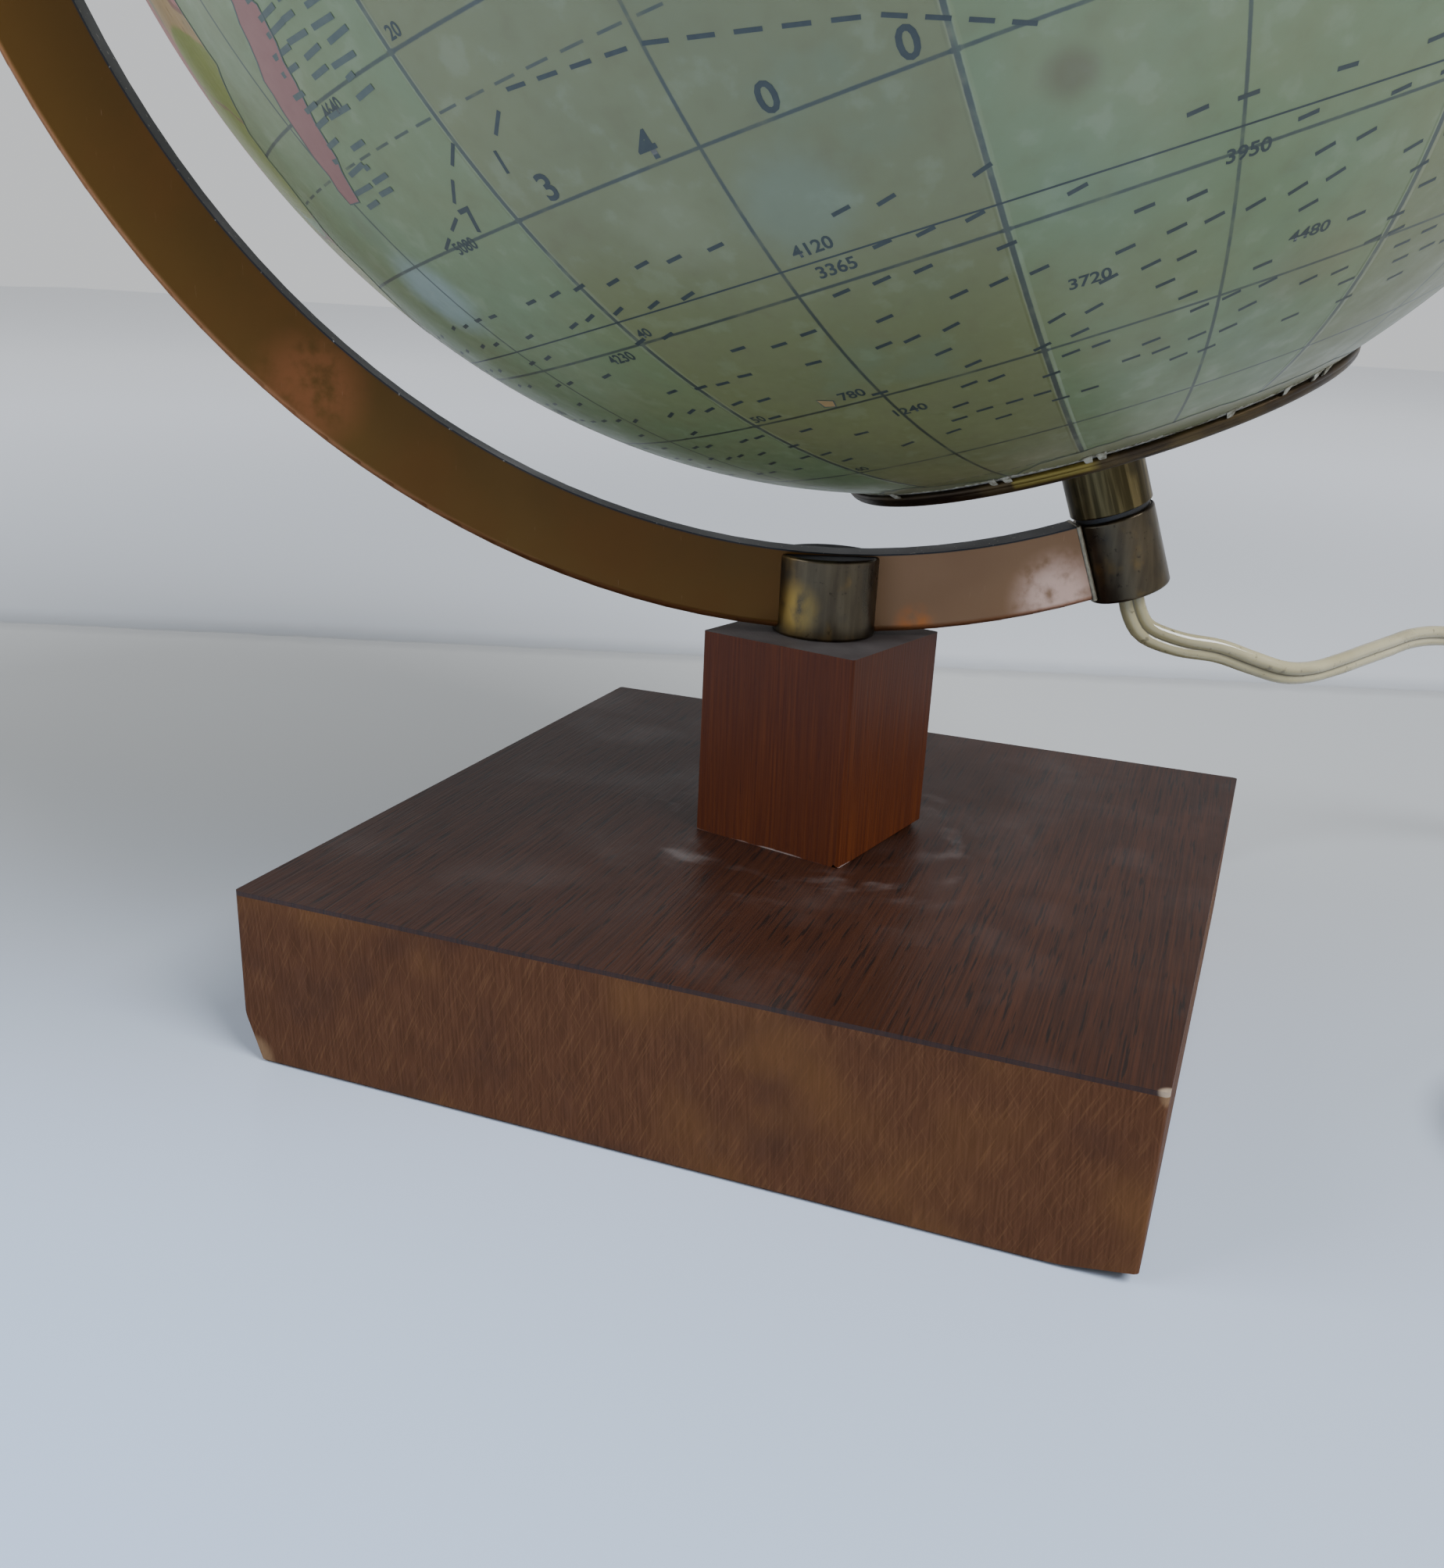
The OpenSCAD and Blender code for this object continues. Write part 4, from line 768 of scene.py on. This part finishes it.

# Land
# Printed land in worn political tints, pink, olive, buff and grey-green, with thin brown borders and blue coasts.
# The outlines are plain textbook ones, given point by point, and small shakes make them coasts.
africa = [(-6, 35.8), (3, 36.8), (10, 37.3), (11, 34), (15, 32.3), (20, 31), (23, 32.6), (29, 31), (32.5, 31.2),
          (34, 27.5), (37, 22), (37.5, 18.5), (40, 15), (43, 12), (44.5, 10.5), (51.2, 11.8), (50, 8),
          (46, 2.5), (41, -2), (39, -6), (40.5, -11), (40.7, -15), (36.5, -18.5), (35, -23), (32.8, -26),
          (32.5, -28.5), (30, -31.5), (26, -34), (20, -34.8), (18.3, -34), (18, -31.5), (15.2, -27),
          (14.3, -22), (12, -18), (13.5, -12), (12.3, -6), (9, -1), (9.6, 3.8), (6, 4.3), (2, 6.3), (-4, 5.2),
          (-8, 4.5), (-12.5, 7.5), (-15, 11), (-17.3, 14.7), (-16.5, 19), (-17, 21.5), (-14.5, 26), (-10, 29.5),
          (-9.5, 32)]
eurasia = [(-5.5, 36), (-9, 37), (-9.3, 39), (-8.8, 43.2), (-1.8, 43.5), (-1.2, 46), (-4.5, 48.4), (1.5, 50.2),
           (4, 52), (8.5, 54), (8.2, 57), (10.5, 57.5), (10.8, 54.5), (14, 54), (19, 54.5), (21, 57),
           (24, 58.8), (30, 60), (23, 60.2), (21.5, 61.5), (25, 65), (22, 65.7), (17.5, 62), (18.5, 60),
           (16.5, 57), (14, 55.5), (12, 57), (10.5, 59.2), (7, 58), (5, 61), (10, 64), (15, 68.5), (21, 70),
           (28, 71), (33, 69.5), (41, 67.5), (40, 66.3), (33, 66.5), (38, 64), (44, 66), (44, 68), (54, 68.5),
           (60, 69), (68, 68.5), (67, 72), (73, 71.5), (73, 68), (78, 72), (81, 73.5), (87, 75), (98, 76.2),
           (104, 77.7), (113, 74), (120, 73), (130, 71.5), (140, 72.5), (150, 71.5), (160, 70), (170, 69.5),
           (180, 68.8), (185, 67.5), (190, 66), (187, 64.5), (180, 64.8), (178, 62.5), (170, 60), (163.5, 58.5),
           (162, 56), (160, 53), (156.7, 51), (155.7, 56), (160, 60.5), (163, 62.3), (155, 59.5), (143, 59.2),
           (138, 56), (135.5, 54.5), (141, 53), (140.5, 48.5), (135, 43.5), (131, 42.8), (128, 39.5),
           (129.4, 36), (126.5, 34.6), (126, 37.5), (124.7, 39.8), (121, 39), (118, 38.8), (122, 37.2),
           (119.3, 35), (121.8, 31.5), (121.5, 28.5), (118.5, 24.5), (114.5, 22.3), (110, 21), (106.5, 20),
           (106, 18), (109, 13.5), (107, 10.4), (105, 8.6), (103, 11), (100.8, 13.3), (99.5, 10), (101.5, 6.5),
           (103.6, 1.5), (101, 2.8), (98.5, 8), (97.5, 16.5), (94.5, 16), (94, 19), (91.5, 22.5), (87, 21.5),
           (82.5, 16.7), (80.3, 13.5), (79.8, 10.3), (77.5, 8.1), (75, 12), (73, 17), (72.7, 21), (69, 22.2),
           (66.5, 25.3), (61.5, 25.2), (57, 26.5), (54, 26.5), (51, 28), (48.5, 30), (48, 29), (50.3, 26.5),
           (51.5, 25.5), (54.5, 24.2), (56.4, 26.2), (59.8, 22.5), (57.8, 18.9), (55, 17), (52, 15.6),
           (45, 12.8), (43, 13.5), (42.7, 16.5), (39, 21.3), (37, 25), (35, 28), (34.3, 31.3), (36, 36.5),
           (30.5, 36.5), (27.5, 37), (26.5, 39.5), (29.5, 41), (35, 42), (41.5, 41.5), (39, 44), (37.5, 45.5),
           (39, 47.2), (35, 46.2), (33.5, 44.5), (32.5, 46), (30.5, 46.3), (28.5, 43.8), (28, 41.5), (26, 40.8),
           (23.7, 40.2), (23, 37.5), (21.7, 36.8), (19.4, 41), (15.5, 43.8), (13.6, 45.5), (12.4, 44.3),
           (16, 41.7), (18.3, 40), (16.5, 38.2), (15.7, 38), (15.5, 40), (12.3, 41.8), (9, 44.3), (6, 43.1),
           (3.2, 43), (0.8, 41), (-0.3, 38.8), (-2, 36.8)]
north_america = [(-168, 65.6), (-161, 64.5), (-165, 61.5), (-162, 58.8), (-157.5, 58.8), (-163, 54.8),
                 (-155, 58), (-151, 59.5), (-146, 60.8), (-139.5, 59.8), (-134, 57), (-130, 54), (-124.5, 48.5),
                 (-124.2, 43), (-122.5, 37.5), (-118, 34), (-114.5, 29.8), (-110, 23), (-112.5, 28),
                 (-114.7, 31.7), (-112.2, 29), (-109, 25.7), (-105.5, 21), (-102, 18), (-95, 16), (-91.5, 14),
                 (-87.5, 12.9), (-85.5, 10), (-82.5, 8.2), (-79.5, 8.9), (-77.5, 8.6), (-81.5, 9.1),
                 (-83.5, 11), (-83.3, 15), (-88, 15.8), (-88, 18.5), (-87, 21.5), (-90.4, 21), (-91.5, 18.6),
                 (-95.5, 18.8), (-97.5, 22.5), (-97.2, 27.5), (-94, 29.6), (-89.5, 29.2), (-84, 30),
                 (-82.7, 28), (-81, 25.2), (-80.3, 27.5), (-81.2, 31), (-76.5, 34.8), (-75.8, 37.5),
                 (-74, 40.6), (-70, 42), (-67, 44.8), (-64, 44.5), (-61, 46), (-65, 49), (-59, 50), (-56, 52.5),
                 (-60, 56), (-64, 60.2), (-69.5, 58.9), (-77.5, 62.4), (-77, 56), (-80, 51.5), (-82.3, 55),
                 (-92.5, 57.2), (-94, 61), (-88, 64), (-86, 67.5), (-94, 68.5), (-108, 68), (-115, 68.3),
                 (-126, 70), (-135, 69), (-141, 69.7), (-156.5, 71.2), (-166, 68.5)]
south_america = [(-77.5, 8.5), (-75.5, 10.7), (-71.7, 12.3), (-68, 11.2), (-62, 10.7), (-60, 8.5), (-52, 5),
                 (-50, 0.5), (-44, -2.7), (-38, -3.8), (-35, -6.5), (-35, -9), (-39, -13.5), (-39.3, -18),
                 (-41, -22), (-45, -23.5), (-48.5, -26.5), (-50, -30), (-53.5, -34), (-58.2, -34), (-57, -36.8),
                 (-61.8, -39), (-65, -41), (-64.5, -42.7), (-67.5, -46), (-65.8, -48), (-69, -51.5),
                 (-65.5, -54.8), (-71, -54.5), (-75, -51), (-75.2, -46.5), (-73.5, -41), (-73.5, -37),
                 (-71.5, -31), (-70.3, -19), (-76.2, -14), (-79, -8.5), (-81.3, -5), (-80, -2.5), (-80.3, 0.5),
                 (-77.5, 4), (-78, 7.5)]
australia = [(114, -22), (113.5, -26), (115.7, -32), (115.2, -34.3), (118.5, -35), (123.5, -34), (129, -31.6),
             (132, -32), (135.5, -34.8), (138, -33), (138.5, -35.5), (140.5, -38), (144.5, -38.3), (146.5, -39),
             (150, -37.3), (151.5, -33), (153.5, -28.5), (153, -25), (149.5, -21.5), (146.3, -19), (145.3, -15),
             (142.5, -10.8), (141.5, -15), (140, -17.6), (135.5, -15), (136.8, -12.2), (132.5, -11.3),
             (130, -14.5), (127, -14), (122.2, -17.8), (119, -20)]
antarctica = [(-10, -69.9), (-10, -70.05), (168, -70.05), (168, -69.9), (155, -69), (145, -67.2), (135, -66),
              (125, -66.3), (110, -66), (95, -66.4), (82, -67), (75, -69.5), (69, -68.5), (57, -66.6),
              (50, -66.8), (40, -69.5), (33, -68.6), (15, -69.3), (0, -69.5)]
madagascar = [(49.8, -12.5), (51.4, -14.8), (50.0, -18.6), (48.0, -22.6), (45.9, -25.3), (44.3, -25.1),
              (45.1, -21.9), (46.5, -17.4), (48.3, -14.8)]
islands = [
    [(-73, 78.2), (-60, 81.8), (-32, 83.5), (-17, 81), (-20, 75), (-23, 70.5), (-32, 68), (-40, 65), (-43.5, 60),
     (-50, 62), (-53.5, 67), (-54, 71), (-60, 75.8)],
    [(-24, 65.5), (-22.5, 66.3), (-16, 66.4), (-13.8, 65), (-18.5, 63.5), (-22.5, 64)],
    [(-80, 73.7), (-68, 70), (-62, 66.8), (-65, 63), (-72, 64.5), (-78, 69.5), (-89, 72)],
    [(-117, 73), (-105, 73), (-102, 69), (-115, 69.2)],
    [(-90, 76.5), (-70, 78.5), (-62, 82.3), (-80, 83), (-95, 80.5)],
    [(144.7, -40.8), (148.3, -41), (147, -43.6), (145.5, -43)],
    [(172.8, -34.5), (175.5, -36.7), (178.4, -37.7), (176.5, -41), (174.8, -41.4), (175, -39.5), (174.7, -37.2)],
    [(172.7, -40.6), (174.2, -41.7), (171, -45.5), (168.5, -46.6), (166.6, -45.8), (170.5, -43)],
    [(131, -0.8), (134, -0.9), (138, -1.7), (144, -4), (147.5, -6), (150.5, -10.5), (146.5, -8.8), (143, -9.2),
     (138.5, -8.3), (138, -5.5), (133, -4)],
    [(109, 1.5), (113, 3.2), (117, 7), (119, 5), (117.5, 1), (116, -3.8), (110.5, -3)],
    [(95.3, 5.6), (98.5, 3.8), (103.5, -1), (106, -3.2), (105.7, -5.8), (102.3, -4), (99, 0)],
    [(105.3, -6.5), (108.5, -6.6), (114.3, -7.8), (114, -8.6), (106.5, -7.4)],
    [(119.5, -5.5), (120, 0.8), (125, 1.5), (121, 0.3), (123, -1), (121.5, -2), (123, -5), (121, -3)],
    [(120.5, 18.5), (122.2, 18.3), (124, 13), (120.7, 13.8)], [(122, 7), (126.2, 9.5), (126, 6.5), (124, 6)],
    [(131, 34), (136, 37), (140, 41.2), (141.8, 39.5), (140.5, 35.8), (135.8, 33.6)],
    [(140, 42), (141.8, 45.3), (145.3, 43.5), (143, 42)], [(130, 33.8), (131.8, 33.5), (130.8, 31.2)],
    [(80, 9.6), (81.8, 7.2), (80.4, 6)], [(120.2, 23), (121.5, 25.2), (121, 22)],
    [(-5.5, 50.1), (1.3, 51.3), (1.7, 52.8), (-1.5, 55), (-2, 57.5), (-5, 58.6), (-6, 56.5), (-3.2, 54.5),
     (-4.5, 53), (-5, 51.8)],
    [(-10, 52), (-6.3, 52.2), (-5.8, 54.8), (-8.5, 55.2)], [(-84.5, 22), (-80, 23.1), (-74.3, 20.2), (-77.5, 20)],
    [(-74.3, 18.4), (-73, 19.9), (-68.5, 18.6), (-71.5, 17.8)],
    [(-59, 47.7), (-55.5, 51.5), (-53, 47), (-56, 46.9)], [(142.5, 54.2), (143.5, 49), (142.5, 46.2), (142, 50)],
    [(52, 71), (57, 74), (68, 76.8), (58, 73), (56, 70.8)], [(11, 79), (25, 80), (18, 76.8)],
    [(68.8, -48.8), (70.4, -49.1), (70.2, -49.8), (69.0, -49.6)]]
lands = [africa, eurasia, north_america, south_america, australia, antarctica, madagascar] + islands


def shaken(outline):
    """An outline's points, filled in about every degree and shaken as a coast is."""
    line = []
    for (a, b), (c, d) in zip(outline, outline[1:] + outline[:1]):
        shrink = max(math.cos(math.radians((b + d) / 2)), 0.25)
        count = max(1, round(math.hypot((c - a) * shrink, d - b)))
        for k in range(count):
            at = Vector((a + (c - a) * k / count, b + (d - b) * k / count, 0.5))
            shake = 0.3 * noise.noise_vector(at * 1.1) + 0.15 * noise.noise_vector(at * 3.1)
            line.append((at.x + shake.x / shrink, max(at.y + shake.y, paper_south + 0.05)))
    return line


def face_out(shape):
    """Turns each face's front away from the ball's centre."""
    shape.normal_update()
    for face in shape.faces:
        if face.normal.dot(face.calc_center_median() - ball_centre) < 0:
            face.normal_flip()


# Offset inks on the same varnished paper: flat worn tints that change at thin brown borders.
land_print, place = start("printed_political_tints")
# States measure about 20 mm across on a 25 cm ball.
state_scale = 48.0
bend = add("TexNoise", {"Vector": place, "Scale": 90.0, "Detail": 4.0})["Color"]
bent = add("VectorMath", {0: bend, 1: (0.006, 0.006, 0.006), 2: place}, operation="MULTIPLY_ADD")[0]
state = add("TexVoronoi", {"Vector": bent, "Scale": state_scale})["Color"]
rim = add("TexVoronoi", {"Vector": bent, "Scale": state_scale}, feature="DISTANCE_TO_EDGE")["Distance"]
pick = add("SeparateColor", {"Color": state})
hills = pattern(place, (1.1, 1.1, 2.6), detail=3)
tint = coats("#85834a", ("#96784a", pick[0], 0.49, 0.51), ("#9a5f54", pick[1], 0.64, 0.66),
             ("#6a7a4e", pick[2], 0.69, 0.71), ("#6d5f3c", pattern(place, 5, detail=5), 0.45, 0.75, 0.4),
             ("#46422e", hills, 0.6, 0.68, 0.35))
# The coast west of the pink island is olive green, with red beyond it, and an inland sea is the sea's colour.
for at_lon, at_lat, size, hue in ((35.0, -18.0, 0.016, "#6c7028"), (24.0, -24.0, 0.012, "#6c7028"),
                                  (25.0, -10.0, 0.016, "#8c4a3a"), (50.2, 44.2, 0.0055, "#66705a"),
                                  (51.8, 39.6, 0.0045, "#66705a")):
    tint = coats(tint, (hue, patch(bent, globe_spot(at_lon, at_lat, paper_r), size, size * 0.94)))
finish(Base_Color=coats(tint, ("#6b4434", rim, 0.02, 0.008, 0.75)), Roughness=step(hills, -1.0, 1.0, 0.7),
       IOR=1.5, Coat_Weight=0.4, Coat_Roughness=0.22)


def one_tint(name, dark, pale, size):
    """A land printed in one tint, which has faded in patches of that size."""
    made, place = start(name)
    finish(Base_Color=coats(dark, (pale, pattern(place, size, detail=5))), Roughness=0.5, IOR=1.5,
           Coat_Weight=0.4, Coat_Roughness=0.22)
    return made


# The long island by the left limb is pink, and the land round the south pole is nearly left bare.
pink_print = one_tint("printed_pink_tint", "#784a41", "#87594f", 2.5)
polar_print = one_tint("printed_polar_buff", "#6f6e4c", "#84825f", 6)
land_r = 0.125782
cut = 1.5
for name, group, material in (("map_land", [x for x in lands if x not in (madagascar, antarctica)], land_print),
                              ("map_polar_land", [antarctica], polar_print),
                              ("map_pink_island", [madagascar], pink_print)):
    shape = bmesh.new()
    for outline in group:
        points = [Vector(p) for p in shaken(outline)]
        spots, _, corners, *_ = geometry.delaunay_2d_cdt(points, [], [list(range(len(points)))], 1, 0.0001)
        made = [shape.verts.new((x, y, 0)) for x, y in spots]
        for corner in corners:
            shape.faces.new([made[k] for k in corner])
    # Cuts every 1.5 degrees let the flat outline bend with the ball.
    lows = [min(v.co[k] for v in shape.verts) for k in (0, 1)]
    highs = [max(v.co[k] for v in shape.verts) for k in (0, 1)]
    for way, low, high in zip((Vector((1, 0, 0)), Vector((0, 1, 0))), lows, highs):
        for k in range(math.ceil(low / cut), math.floor(high / cut) + 1):
            bmesh.ops.bisect_plane(shape, geom=shape.verts[:] + shape.edges[:] + shape.faces[:], dist=0.0001,
                                   plane_co=way * k * cut, plane_no=way)
    on_ball(shape, land_r)
    face_out(shape)
    for face in shape.faces:
        face.smooth = True
    new_piece(name, shape, material, "globe")

# Coast lines, 0.3 mm wide, in blue-grey, and dark hatching that stands in the sea beside the pink island.
coast_r = 0.125796
hatch_top = -10.5
coast_print, place = start("grey_blue_printing_ink")
finish(Base_Color=coats("#33403d", ("#4e574c", pattern(place, 1.5, detail=4))), Roughness=0.6, Coat_Weight=0.4,
       Coat_Roughness=0.22)
shape = bmesh.new()
for outline in lands:
    ribbon(shape, shaken(outline), 0.3, closed=True)
for row in range(17):
    for k in range(3):
        sway = noise.noise_vector(Vector((row * 0.7, k * 2.3, 9.0)))
        if row > 11 and k == 2 or sway.z > 0.3:
            continue
        at_lat = hatch_top - 0.95 * row + 0.25 * sway.y
        at_lon = 52.2 + 0.38 * (at_lat - hatch_top) + 3.0 * k + 1.6 * sway.x
        ribbon(shape, [(at_lon, at_lat), (at_lon + 2.1 + 2.6 * sway.z, at_lat + 0.3 * sway.x)], 0.7)
on_ball(shape, coast_r)
new_piece("map_coasts", shape, coast_print, "globe")

# Torn paper edge
# Above the dish the varnished paper has cracked and frayed all round, down to its white fibre, and small
# flakes stand off over the dish's rim.
fray_r = 0.125772
flake_r = 0.12579
flake_lift = 0.0006
flakes_at = -69.1
teeth = 720

# Torn rag paper: fluffy, dull, dirty white.
torn, place = start("torn_paper_fibre")
fuzz = pattern(place, 0.8, detail=5)
relief = add("Bump", {"Height": fuzz, "Strength": 0.6, "Distance": 0.0002})[0]
finish(Base_Color=coats("#6a6046", ("#a8a28c", fuzz, 0.35, 0.65)), Normal=relief, IOR=1.45, Roughness=0.85,
       Sheen_Weight=0.2)
shape = bmesh.new()
low_row, high_row = [], []
for k in range(teeth):
    jag = noise.noise(Vector((k * 0.09, 0.3, 7.0))) + 0.7 * noise.noise(Vector((k * 0.63, 2.3, 7.0)))
    low_row.append(shape.verts.new((k / 2, paper_south + 0.04, 0)))
    high_row.append(shape.verts.new((k / 2, paper_south + 0.12 + max(0.0, 0.75 + 0.8 * jag), 0)))
for k in range(teeth):
    after = (k + 1) % teeth
    shape.faces.new((low_row[k], low_row[after], high_row[after], high_row[k]))
on_ball(shape, fray_r)
flakes = (46.0, 71.5, 74.5, 90.4, 93.0, 118.0, 131.0, 139.5, 143.0, 178.0, 231.0, 290.0, 334.0)
for k, at_lon in enumerate(flakes):
    size = 0.36 + 0.3 * noise.noise(Vector((k * 1.7, 0.2, 3.0)))
    first = len(shape.verts)
    corners = [shape.verts.new((at_lon + x * size, flakes_at + y, 0))
               for x, y in ((-2.6, 0.3), (2.2, 0.5), (1.7, -0.3), (0.2, -0.8), (-1.6, -0.2))]
    shape.faces.new(corners)
    on_ball(shape, flake_r, first)
    for v in corners[2:]:
        v.co += (v.co - ball_centre).normalized() * flake_lift
face_out(shape)
frayed = new_piece("map_torn_edge", shape, torn, "globe")
thick = frayed.modifiers.new("fibre", "SOLIDIFY")
thick.thickness = 0.00012
thick.offset = 1.0

# Dish and cap
# A shallow dish of spun brass with a beaded rim closes the ball below, and a small domed cap above. Both
# are dark brown, rubbed yellow on one stretch of the rim.

# Old spun brass: dark brown skin with fine rings, yellow where the skin has rubbed off.
spun, place = start("spun_brass_dark")
laid = add("Mapping", {"Vector": place, "Location": ball_centre, "Rotation": on_axis.to_euler()},
           vector_type="TEXTURE")[0]
apart = add("SeparateXYZ", {"Vector": laid})
from_axis = reckon(apart["X"], ("MULTIPLY", apart["X"]), ("ADD", reckon(apart["Y"], ("MULTIPLY", apart["Y"]))),
                   ("SQRT",))
turned = reckon(apart["Y"], ("ARCTAN2", apart["X"]))
rings = pattern(add("CombineXYZ", {"X": from_axis, "Y": turned})[0], (0.5, 900, 1000), detail=3)
cloud = pattern(place, 9, detail=6)
# The yellow stretch lies from 237 to 253 degrees round the axis, sharp at its left end.
left, left_full, right, right_full = [math.radians(turn) for turn in (-123.5, -122.5, -105, -108)]
stretch = step(turned, left, left_full, 1.0, step(turned, right, right_full))
upper = step(apart["Z"], -0.1199, -0.1196, 1.0, stretch)
metal = coats("#33271a", ("#55452b", cloud, 0.35, 0.65), ("#6e5e3c", rings, 0.55, 0.75, 0.5),
              (coats("#6b5a28", ("#94803e", cloud)), upper))
relief = add("Bump", {"Height": rings, "Strength": 0.15, "Distance": 0.0002})[0]
finish(Base_Color=metal, Roughness=step(cloud, -0.7, 1.0, 0.6), Normal=relief, Metallic=0.9, Coat_Weight=0.1,
       Coat_Roughness=0.4)
dress(spun, "south_dish", "north_cap")

# Switch and plug
# An inline rocker switch lies on the flex beside the foot, and a flat two-pin plug ends it. Both are
# moulded in cream plastic that has yellowed, and screwed together from below.

# Injection-moulded urea plastic: cream, smooth, slightly yellow in patches, with fine handling scratches.
cream_plastic, place = start("moulded_cream_plastic")
age = pattern(place, 12, detail=4)
marks = pattern(place, (0.3, 5, 5), 25, 3)
grain = pattern(place, 0.5, detail=2)
tone = coats("#d9cba8", ("#e6dcc4", age), ("#b5a684", marks, 0.66, 0.74, 0.3))
relief = add("Bump", {"Height": grain, "Strength": 0.12, "Distance": 0.0001})[0]
finish(Base_Color=tone, Roughness=step(age, -0.6, 1.2, 0.55), Normal=relief, IOR=1.54)
dress(cream_plastic, "switch_lower", "switch_upper", "switch_rocker", "plug_body")
